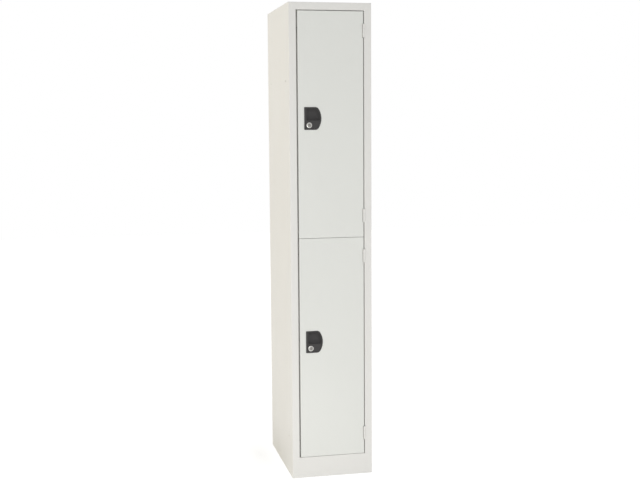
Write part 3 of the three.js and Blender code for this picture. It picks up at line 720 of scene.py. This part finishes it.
def pocket(middle):
    """What is cut out for the fingers. It is a dish: behind the lip its wall is upright, and its other walls
    lean in along an eighth of an ellipse, its depth rising as the sine and its lean as one less the cosine.
    """
    scoop = np.linspace(QUARTER / 2, QUARTER, 11)
    deepening = (np.sin(scoop) - np.sin(scoop[0])) / (1 - np.sin(scoop[0]))
    depth = np.concatenate([[LIP_BACK], SCOOP_START + (POCKET_FLOOR - SCOOP_START) * deepening])
    leaning = np.concatenate([[0], 1 - np.cos(scoop) / np.cos(scoop[0])])
    inset = WALL_INSET + SCOOP_SIDE * leaning
    rounding = np.maximum(depth - POCKET_FLOOR + POCKET_ROUND, 0)
    left = WALL_INSET - pull_half[0] + POCKET_ROUND - np.sqrt(POCKET_ROUND**2 - rounding**2) - inset
    bottom = SCOOP_FOOT * leaning - LEDGE - inset
    return lofted(np.stack([inset, depth], axis=-1), middle, left=left, bottom=bottom, corner=POCKET_CORNER)


def finger_pull(node):
    """The pull's outer body, then its pocket, mouth, pad, chamber and lock hole cut away, and two snap lugs
    joined above and below."""
    middle, lock = on_face(node), lock_axis(node)
    front = -PULL_PROUD
    back = arc([PULL_OVERLAP + FOOT_ROUND, pull_depth - FOOT_ROUND], FOOT_ROUND, QUARTER, np.pi, steps=4)
    rim = arc([PULL_EDGE, front + PULL_EDGE], PULL_EDGE, np.pi, 3 * QUARTER, steps=5)
    outer = [*back, [PULL_OVERLAP, -SEAM], [0, -SEAM], *rim]
    lip = arc([-MOUTH_ROUND, front + MOUTH_ROUND], MOUTH_ROUND, 0, -QUARTER, steps=5) + [WALL_INSET, 0]
    beyond = front - OVERRUN
    mouth = [[WALL_INSET, SCOOP_START], *lip, [lip[-1, 0], beyond]]
    mouth_left, mouth_foot = LIP_REACH - WALL_INSET - pull_half[0], -LEDGE - WALL_INSET
    pad_top, pad_front, pad_rim = -LEDGE - LEDGE_BAR, front + PAD_SUNK, RIM - PAD_SUNK / 3
    pad = [[RIM, pad_front], [RIM, front + PAD_SUNK / 2], [pad_rim, front], [pad_rim, beyond]]
    chamber = [[WALL_INSET, pad_front + PAD_THICKNESS], [WALL_INSET, pull_depth + OVERRUN]]
    lugs = [
        block(
            middle + [-LUG_LENGTH, LUG_FRONT, z - LUG_REACH],
            middle + [0, LUG_FRONT + LUG_HEIGHT, z + LUG_REACH],
        )
        for z in (pull_half[1] - PULL_OVERLAP, PULL_OVERLAP - pull_half[1])
    ]
    cuts = [
        pocket(middle),
        lofted(mouth, middle, left=mouth_left, bottom=mouth_foot, corner=POCKET_CORNER),
        lofted(pad, middle, top=pad_top + RIM, corner=PAD_CORNER),
        lofted(chamber, middle, top=pad_top + WALL_INSET, corner=PAD_CORNER),
        punched(LOCK_HOLE, lock, axis=1, reach=2 * POCKET_FLOOR),
    ]
    return combined(lofted(outer, middle), *[(CUT, cut) for cut in cuts], (JOIN, together(*lugs)))


for door in DOORS:
    edge = PULL_OVERLAP - CUTOUT_CLEARANCE
    cutout = lofted([[edge, -OVERRUN], [edge, OVERRUN]], on_face(f"{door}_finger_pull"))
    finished(f"{door}_door_panel", door_pan(f"{door}_door_panel", cutout))
    dress(stiffener, f"{door}_door_stiffener")
    dress(finger_pull, f"{door}_finger_pull", PULL_SOFT)

# %% [markdown]
# ## Locks
# A cam lock is a turned housing clamped through the pad by a nut, with a plug inside that the key turns and
# a cam on the plug's tail. Turned parts are profiles swung round the lock's axis. The thread is the same
# swing with a radius that also depends on the angle, so that the crest climbs one pitch each turn. A Screw
# modifier could wind the thread too, but this way housing and thread are one closed surface. Only the bright
# head and the keyway show while the door is shut, and the rest shows when it stands open.

# %% Housing and nut
HEAD_RADIUS = 10.5 * MM
HEAD_THICKNESS = 2.2 * MM
HEAD_CROWN, HEAD_ROUND = 3.2 * MM, 1.2 * MM
HEAD_DISH = 0.5 * MM
BARREL_RADIUS = 9 * MM
BORE = 6.3 * MM
THREAD_PITCH = 1.5 * MM
THREAD_DEPTH = 0.5 * MM
THREAD_ROWS = 84
LOCK_AROUND = 64
NUT_CHAMFER = 0.6
head_front = corners("upper_lock_housing")[0][1] - FACE
head_back = head_front + HEAD_THICKNESS


def lock_housing(node):
    """The head and its threaded barrel round the bore. The head's face is crowned: a quarter of an ellipse
    falls away to its rim. On the barrel the radius dips by the thread's depth after a cosine of the height in
    pitches plus the angle in turns."""
    end = corners(node)[1][1] - FACE
    crown = arc([0, 0], 1, -QUARTER, 0, steps=12) * [HEAD_CROWN, HEAD_ROUND]
    rounded = crown + [HEAD_RADIUS - HEAD_CROWN, head_front + HEAD_ROUND]
    face = [[BORE, head_front + HEAD_DISH], [BORE + HEAD_DISH / 2, head_front + HEAD_DISH]]
    head = np.array([*face, *rounded, [HEAD_RADIUS, head_back], [BARREL_RADIUS, head_back]])
    along = np.linspace(head_back + THREAD_PITCH, end - THREAD_DEPTH, THREAD_ROWS)
    angle = np.arange(LOCK_AROUND) * 2 * np.pi / LOCK_AROUND
    wave = (1 - np.cos(2 * np.pi * along[:, None] / THREAD_PITCH + angle)) / 2
    barrel = BARREL_RADIUS - THREAD_DEPTH * wave
    plain = np.repeat(head[:, :1], LOCK_AROUND, axis=1)
    tail = np.repeat([[BARREL_RADIUS - THREAD_DEPTH], [BORE]], LOCK_AROUND, axis=1)
    radius, height = np.concatenate([plain, barrel, tail]), [*head[:, 1], *along, end, end]
    return turned(radius, height, lock_axis(node), around=LOCK_AROUND, wrap=True)


def lock_nut(node):
    """A hexagon bar, its corners turned off at both ends and its middle bored out. Its box tells which way
    the corners point, and how far they and the flats lie from the middle."""
    low, high = corners(node)
    middle, (wide, thickness, tall) = (low + high) / 2, high - low
    long_way, short_way = max(wide, tall) / 2, min(wide, tall) / 2
    start = 0 if wide > tall else QUARTER
    hexagon = arc(middle[[0, 2]], long_way, start, start + 5 * np.pi / 3, steps=5)
    slope = (long_way - short_way) * NUT_CHAMFER
    height = np.array([0, slope, thickness - slope, thickness]) - thickness / 2
    turned_off = turned([short_way, long_way, long_way, short_way], height, middle, around=LOCK_AROUND)
    bore = turned([BARREL_RADIUS] * 2, [-thickness, thickness], middle, around=LOCK_AROUND)
    hex_bar = carried(hexagon, 1, low[1], high[1])
    return combined(hex_bar, (KEEP, turned_off), (CUT, bore))


# %% Plug
PLUG_RADIUS = 6 * MM
PLUG_ROUND = 0.5 * MM
DRIVE_HALF = 3.5 * MM
KEYWAY_DEPTH = 7 * MM
SCREW_HOLE, SCREW_HOLE_DEPTH = 2 * MM, 5.4 * MM
SMALL_SOFT = 0.12 * MM
KEYWAY = np.array([[-0.8, -3.7], [0.8, -3.7], [0.8, -1.2], [0.3, -0.8], [0.3, 1.3], [0.8, 1.7], [0.8, 3.7],
                   [-0.8, 3.7], [-0.8, 0.7], [-0.3, 0.3], [-0.3, -1.9], [-0.8, -2.3]]) * MM
cam_front = corners("upper_lock_cam")[0][1] - FACE


def bar(axis, half_x, half_z, start, end):
    """A straight bar along an axis, from one depth in Y to another."""
    return block([axis[0] - half_x, start, axis[2] - half_z], [axis[0] + half_x, end, axis[2] + half_z])


def lock_plug(node):
    """The turned plug with its square tail, a warded keyway in front and a screw hole behind."""
    low, high = corners(node)
    axis = lock_axis(node)
    front, shoulder, end = low[1] - FACE, cam_front - SEAM, high[1] - FACE
    nose = arc([PLUG_RADIUS - PLUG_ROUND, front + PLUG_ROUND], PLUG_ROUND, -QUARTER, 0, steps=4)
    body = turned([*nose[:, 0], PLUG_RADIUS], [*nose[:, 1], shoulder], axis, around=LOCK_AROUND)
    tail = bar(axis, DRIVE_HALF, DRIVE_HALF, FACE + shoulder - DRIVE_HALF, high[1])
    keyway = carried(KEYWAY + axis[[0, 2]], 1, low[1] - MM, low[1] + KEYWAY_DEPTH)
    hole = turned([SCREW_HOLE] * 2, [end - SCREW_HOLE_DEPTH, end + MM], axis, around=24)
    return combined(body, (JOIN, tail), (CUT, keyway), (CUT, hole))


# %% Cam and its screw
CAM_ROUND = 9 * MM
CAM_HALF = 7 * MM
CAM_TIP = 3 * MM
CAM_HOLE = 3.8 * MM
CAM_SOFT = 0.3 * MM
CROSS_HALF = 0.6 * MM
CROSS_REACH = 2.6 * MM
CROSS_DEPTH = 1.4 * MM
SHANK_RADIUS = 1.7 * MM
SCREW_HEAD = 2.6 * MM
HEAD_FLAT, HEAD_WALL = 0.35, 0.25


def lock_cam(node):
    """A stamped plate: a round eye that narrows to a straight arm with a rounded tip, pierced square."""
    low, high = corners(node)
    axis = lock_axis(node)
    join = np.arcsin(CAM_HALF / CAM_ROUND)
    foot = low[2] - axis[2] + CAM_TIP
    eye = arc([0, 0], CAM_ROUND, join - QUARTER, 3 * QUARTER - join, steps=40)
    left_tip = arc([CAM_TIP - CAM_HALF, foot], CAM_TIP, 2 * QUARTER, 3 * QUARTER, steps=6)
    right_tip = arc([CAM_HALF - CAM_TIP, foot], CAM_TIP, 3 * QUARTER, 4 * QUARTER, steps=6)
    plate = carried(np.concatenate([eye, left_tip, right_tip]) + axis[[0, 2]], 1, low[1], high[1])
    return combined(plate, (CUT, bar(axis, CAM_HOLE, CAM_HOLE, low[1] - MM, high[1] + MM)))


def cam_screw(node):
    """A pan head with a domed edge on a short shank, with a cross cut in the head. The head's wall is upright
    for a share of its height, and its top is flat for a share of its radius."""
    low, high = corners(node)
    axis = lock_axis(node)
    head_radius, seat = (high[0] - low[0]) / 2, high[1] - FACE - SCREW_HEAD
    dome = arc([0, 0], 1, 0, QUARTER, steps=8)
    dome_radius = head_radius * (HEAD_FLAT + (1 - HEAD_FLAT) * dome[:, 0])
    dome_height = seat + SCREW_HEAD * (HEAD_WALL + (1 - HEAD_WALL) * dome[:, 1])
    radius = [SHANK_RADIUS, SHANK_RADIUS, head_radius, *dome_radius]
    body = turned(radius, [low[1] - FACE, seat, seat, *dome_height], axis, around=40)
    foot, top = high[1] - CROSS_DEPTH, high[1] + MM
    cuts = [
        (CUT, bar(axis, x, z, foot, top))
        for x, z in ((CROSS_REACH, CROSS_HALF), (CROSS_HALF, CROSS_REACH))
    ]
    return combined(body, *cuts)


for door in DOORS:
    dress(lock_housing, f"{door}_lock_housing")
    dress(lock_nut, f"{door}_lock_nut")
    dress(lock_plug, f"{door}_lock_plug", SMALL_SOFT)
    dress(lock_cam, f"{door}_lock_cam", CAM_SOFT)
    dress(cam_screw, f"{door}_cam_screw", SMALL_SOFT)

# %% [markdown]
# ## Hinges
# Each hinge is two strips rolled round one pin: the frame's leaf has the two outer knuckles and the door's
# the middle one. A plain tube could stand for a knuckle, but it wouldn't grow out of its leaf. So its section
# is a strip that comes up from the leaf and goes once round the pin, with a hairline left where the roll
# closes. The barrel stands in front of the face and fills the narrow gap.

# %% Hinge leaves and pins
LEAF = 1.1 * MM
LEAF_OUT = doorway_half - hinge_axis(HINGES[0])[0] - SEAM / 2
BORE_RADIUS = 2.3 * MM
PLATE_START = 5.2 * MM
ROLL_SLIT = 0.15 * MM
KNUCKLE_GAP = 0.4 * MM
HINGE_SOFT = 0.25 * MM
PIN_RADIUS = 2 * MM
PIN_HEAD, PIN_HEAD_HEIGHT = 3.4 * MM, 0.6 * MM
PIN_CHAMFER, PIN_CHAMFER_HEIGHT = 0.3 * MM, 0.4 * MM
PIN_HEAD_FLAT = 0.5


def rolled(side):
    """Outline of a knuckle in X and Y about the pin: up the leaf's outer face, once round at the barrel's
    radius, in through the slit, back round at the bore's radius and up the leaf's inner face."""
    near, once, bore = LEAF_OUT - LEAF, 2 * np.pi, BORE_RADIUS
    slit = near - ROLL_SLIT
    outer = arc([0, 0], BARREL, np.arccos(LEAF_OUT / BARREL), np.arccos(slit / BARREL) - once, steps=40)
    inner = arc([0, 0], bore, np.arccos(slit / bore) - once, np.arccos(near / bore), steps=32)
    outline = np.array([[LEAF_OUT, PLATE_START + LEAF], *outer, *inner, [near, PLATE_START + LEAF]])
    return outline * [side, 1]


def hinge_leaf(hinge, leaf, side):
    """A leaf's plate joined to its knuckles; side is 1 for the frame's leaf and -1 for the door's."""
    low, high = corners(f"{hinge}_{leaf}")
    axis = hinge_axis(hinge)
    near, far = axis[0] + side * (LEAF_OUT - LEAF), axis[0] + side * LEAF_OUT
    plate = block([near, axis[1] + PLATE_START, low[2]], [far, high[1], high[2]])
    pitch = (high[2] - low[2] + KNUCKLE_GAP) / 3
    starts = low[2] + pitch * np.array([0, 2] if side > 0 else [1])
    outline = rolled(side) + axis[:2]
    knuckles = [carried(outline, 2, start, start + pitch - KNUCKLE_GAP) for start in starts]
    return combined(plate, (JOIN, together(*knuckles)))


def hinge_pin(hinge):
    """A round pin with a flat domed head above the top knuckle and a chamfer at its foot."""
    low, high = corners(f"{hinge}_pin")
    dome = arc([0, 0], 1, 0, QUARTER, steps=5)[:-1]
    dome_radius = PIN_HEAD * (PIN_HEAD_FLAT + (1 - PIN_HEAD_FLAT) * dome[:, 0])
    dome_height = high[2] - PIN_HEAD_HEIGHT * (1 - dome[:, 1])
    seat = high[2] - PIN_HEAD_HEIGHT
    radius = [PIN_RADIUS - PIN_CHAMFER, PIN_RADIUS, PIN_RADIUS, PIN_HEAD, *dome_radius]
    height = [low[2], low[2] + PIN_CHAMFER_HEIGHT, seat, seat, *dome_height]
    return turned(radius, height, [*hinge_axis(hinge)[:2], 0], axis=2, around=32)


for hinge in HINGES:
    finished(f"{hinge}_frame_leaf", hinge_leaf(hinge, "frame_leaf", 1), HINGE_SOFT)
    finished(f"{hinge}_door_leaf", hinge_leaf(hinge, "door_leaf", -1), HINGE_SOFT)
    finished(f"{hinge}_pin", hinge_pin(hinge))

# %% [markdown]
# ## Coat hooks and buffers
# Under the roof and under the middle shelf hangs a double coat hook, bent from one steel strip. Here the
# strip's section is carried along the bent line and narrowed to a round tip at both ends, which a straight
# extrusion couldn't do. Small rubber buffers on the stop flange quiet the shutting doors.

# %% Coat hooks
HOOK_STRIP = 2.2 * MM
HOOK_BEND = 5 * MM
HOOK_BASE = 30 * MM
HOOK_TIP = 18 * MM
HOOK_EDGE = 0.9 * MM
TIP_ANGLE = 0.12
TIP_LEFT_OFF = 0.004


def bent_line(line, radius, steps=8):
    """The middle line of a bent strip and its normals. In an outline of thickness 2 the faces lie 1 from the
    middle, so the line is half their sum and the normals are half their difference."""
    outline = folded(line, 2, radius, steps)
    one, other = outline[: len(outline) // 2], outline[len(outline) // 2 :][::-1]
    return (one + other) / 2, (one - other) / 2


def coat_hook(node):
    """A strip carried along its bent line. At each step its section is a rounded rectangle, as wide as the
    strip but for the ends, where the half width is that of a circle that closes the strip off."""
    low, high = corners(node)
    middle, half_width = (low + high) / 2, (high[1] - low[1]) / 2
    top, foot = high[2] - HOOK_STRIP / 2, low[2] + HOOK_STRIP / 2
    half_base, reach = HOOK_BASE / 2, (high[0] - low[0]) / 2 - HOOK_STRIP / 2
    half = [[reach, low[2] + HOOK_TIP], [reach, foot], [half_base, foot], [half_base, top]]
    line = np.array([[-x, z] for x, z in half] + half[::-1])
    line[:, 0] += middle[0]
    spine, normal = bent_line(line, HOOK_BEND)
    length = np.concatenate([[0], np.cumsum(np.linalg.norm(np.diff(spine, axis=0), axis=1))])
    tip = half_width * (1 - np.cos(np.linspace(TIP_ANGLE, QUARTER, 8)))
    fine = np.unique(np.concatenate([length, tip, length[-1] - tip]))
    least = TIP_LEFT_OFF * half_width
    fine = fine[(fine > least) & (fine < length[-1] - least)]
    spine, normal = [
        np.stack([np.interp(fine, length, track[:, axis]) for axis in (0, 1)], axis=-1)
        for track in (spine, normal)
    ]
    normal /= np.linalg.norm(normal, axis=1, keepdims=True)
    from_end = np.minimum(fine, length[-1] - fine) / half_width
    share = np.sqrt(1 - np.clip(1 - from_end, 0, 1) ** 2)
    corner = np.array([half_width, HOOK_STRIP / 2])
    section = drawn_in(-corner, corner, np.zeros(1), np.full(1, HOOK_EDGE), steps=4)[0]
    across = section[None, :, 0] * share[:, None]
    flat = spine[:, None] + normal[:, None] * section[None, :, 1, None]
    return skin(placed(flat, 1, middle[1] + across))


for door in DOORS:
    dress(coat_hook, f"{door}_coat_hook")

# %% Door buffers
BUFFER_ROUND = 1.1 * MM


def buffer(node):
    """A rubber button with a rounded face."""
    low, high = corners(node)
    radius, middle = (high[0] - low[0]) / 2, (low + high) / 2
    face = arc([radius - BUFFER_ROUND, low[1] + BUFFER_ROUND], BUFFER_ROUND, -QUARTER, 0, steps=6)
    return turned([*face[:, 0], radius], [*face[:, 1], high[1]], [middle[0], 0, middle[2]], around=40)


for door in DOORS:
    for end in ENDS:
        dress(buffer, f"{door}_door_{end}_buffer")

# %% [markdown]
# ## Floor, light and camera
# The locker stands on a pale floor in soft studio light: an even white dome, two warm lamps high and low on
# the left that give the side its tone, and in front a large low lamp and a small one near the floor, which
# lift the foot of the doors as light off a white floor does. What the camera sees of the background is white
# by its own colour, so the lamps don't have to burn it out, and the floor keeps a soft trace of the locker's
# shadow. Beside the left side a shadow is painted on the floor as a darker tone, and the less light the floor
# throws back there shades the sheet near the ground.

# %% Floor and world
FLOOR_HALF = 9.0
FLOOR_TILES = 13
FLOOR_GLOW = 0.7
FLOOR_WHITE = 1.3
FLOOR_ROUGHNESS = 0.9
WORLD_LIGHT = 0.71
# SHADE_COLOUR is a painted shadow: a dark, brownish patch on the floor beside the locker's left side stands
# in for its shadow there, so the floor throws less light onto the foot of the side.
FLOOR_COLOUR, SHADE_COLOUR = (0.93, 0.93, 0.92, 1), (0.2, 0.17, 0.08, 1)
SHADE_PLACE, SHADE_REACH = (left_low[0] - 0.07, 0.1, 0), (0.14, 0.42, 1)


def floor_sheet():
    """A flat grid of points in even steps at floor height, with a face between each four neighbours."""
    step = np.linspace(-FLOOR_HALF, FLOOR_HALF, FLOOR_TILES)
    x, y = np.meshgrid(step, step, indexing="ij")
    points = np.stack([x, y, np.zeros_like(x)], axis=-1).reshape(-1, 3)
    corner = (np.arange(FLOOR_TILES - 1)[:, None] * FLOOR_TILES + np.arange(FLOOR_TILES - 1)).ravel()
    return points, [np.stack([corner, corner + FLOOR_TILES, corner + FLOOR_TILES + 1, corner + 1], axis=-1)]


def seen(tree):
    """1 where a ray comes from the camera, a glossy bounce or a clear one, and 0 for light on surfaces."""
    path = add_node(tree, "LightPath", {}).outputs
    total = path["Is Camera Ray"]
    for name in ("Is Glossy Ray", "Is Transmission Ray"):
        add = add_node(tree, "Math", {0: total, 1: path[name]}, operation="ADD", use_clamp=True)
        total = add.outputs["Value"]
    return total


floor = in_scene("studio_floor", to_mesh("studio_floor", floor_sheet()))
floor_paint = bpy.data.materials.new("studio_floor")
floor_paint.use_nodes = True
tree = floor_paint.node_tree
place = add_node(tree, "TexCoord", {}).outputs["Object"]
# Painted shadow: nearer the middle of a patch beside the left side, the floor's colour turns towards
# SHADE_COLOUR.
spot = {"Vector": place, "Location": SHADE_PLACE, "Scale": SHADE_REACH}
place = add_node(tree, "Mapping", spot, vector_type="TEXTURE").outputs["Vector"]
nearness = add_node(tree, "TexGradient", {"Vector": place}, gradient_type="SPHERICAL").outputs["Fac"]
# A mix node has sockets for every kind of value, and those for colours are inputs 6 and 7 and output 2
tone = add_node(tree, "Mix", {0: nearness, 6: FLOOR_COLOUR, 7: SHADE_COLOUR}, data_type="RGBA").outputs[2]
matt = tree.nodes["Principled BSDF"]
set_inputs(tree, matt, {"Roughness": FLOOR_ROUGHNESS, "Base Color": tone})
glow = add_node(tree, "Emission", {"Strength": FLOOR_WHITE})
share = add_node(tree, "Math", {0: seen(tree), 1: FLOOR_GLOW}, operation="MULTIPLY").outputs["Value"]
mixed = add_node(tree, "MixShader", {0: share, 1: matt.outputs["BSDF"], 2: glow.outputs["Emission"]})
set_inputs(tree, tree.nodes["Material Output"], {"Surface": mixed.outputs["Shader"]})
floor.data.materials.append(floor_paint)
print("floor:", 2 * FLOOR_HALF, "m square, with", len(floor.data.polygons), "faces")

world = bpy.data.worlds.new("studio")
bpy.context.scene.world = world
world.use_nodes = True
tree = world.node_tree
dome = tree.nodes["Background"]
set_inputs(tree, dome, {"Color": (1, 1, 1, 1), "Strength": WORLD_LIGHT})
white = add_node(tree, "Background", {"Color": (1, 1, 1, 1)})
both = {0: seen(tree), 1: dome.outputs["Background"], 2: white.outputs["Background"]}
both = add_node(tree, "MixShader", both)
set_inputs(tree, tree.nodes["World Output"], {"Surface": both.outputs["Shader"]})


# %% Lamps
def standing(axes, place):
    """The matrix of an object whose own axes are the given columns and whose origin is at a place."""
    matrix = np.eye(4)
    matrix[:3, :3], matrix[:3, 3] = axes, place
    return Matrix(matrix)


def lamp(name, place, target, size, power, colour):
    """A square area lamp at a place, facing a target."""
    data = bpy.data.lights.new(name, "AREA")
    data.size, data.energy, data.color = size, power, colour
    made = in_scene(name, data)
    place, target = np.array(place, float), np.array(target, float)
    away = (place - target) / np.linalg.norm(place - target)
    side = np.cross([0, 0, 1], away)
    side /= np.linalg.norm(side)
    made.matrix_world = standing(np.stack([side, np.cross(away, side), away], axis=-1), place)
    print(f"{name}: {power} W from a square of {size} m")


WARM, WHITE = (1, 0.878, 0.6), (1, 1, 1)
lamp("side_lamp", (-3.4, 0.1, 1.1), target=(0, 0, 0.95), size=2.2, power=11.0, colour=WARM)
lamp("high_lamp", (-3.0, 0.4, 2.3), target=(0, 0, 1.5), size=1.6, power=14.2, colour=WARM)
lamp("front_lamp", (-0.6, -3.0, 0.8), target=(0, 0, 0.3), size=1.4, power=18.7, colour=WHITE)
lamp("foot_lamp", (-0.1, -0.8, 0.12), target=(0, 0, 0.02), size=0.3, power=0.28, colour=WHITE)

# %% [markdown]
# The camera stands to the left of the locker at chest height, a little over four metres away, and looks
# slightly down. It could be set by eye, but its place, angles and lens pull on one another, so all of them
# were worked out together from the corners and gaps of the locker as they lie in the picture.

# %% Camera
CAMERA_PLACE = np.array([-0.8797, -4.0977, 1.3337])
HEADING, TILT, ROLL = np.radians([12.1875, -6.1318, -0.3912])
LENS, SENSOR = 60.074, 36.0
CLIP_END = 60.0


def camera_axes(heading, tilt, roll):
    """Columns right, up and back of a camera that looks along a heading from +Y towards +X, tilted up or
    down, then rolled about its line of sight."""
    ahead = np.array([np.sin(heading) * np.cos(tilt), np.cos(heading) * np.cos(tilt), np.sin(tilt)])
    right = np.cross(ahead, [0, 0, 1])
    right /= np.linalg.norm(right)
    up = np.cross(right, ahead)
    turn = np.array([[np.cos(roll), -np.sin(roll)], [np.sin(roll), np.cos(roll)]])
    right, up = turn.T @ np.stack([right, up])
    return np.stack([right, up, -ahead], axis=-1)


camera_data = bpy.data.cameras.new("camera")
camera_data.lens, camera_data.sensor_width, camera_data.sensor_fit = LENS, SENSOR, "HORIZONTAL"
camera_data.clip_end = CLIP_END
camera = in_scene("camera", camera_data)
camera.matrix_world = standing(camera_axes(HEADING, TILT, ROLL), CAMERA_PLACE)
bpy.context.scene.camera = camera
bpy.context.scene.view_settings.view_transform = "Standard"
print("camera:", np.round(np.hypot(*CAMERA_PLACE[:2]), 2), "m from the locker's middle, lens", LENS, "mm")
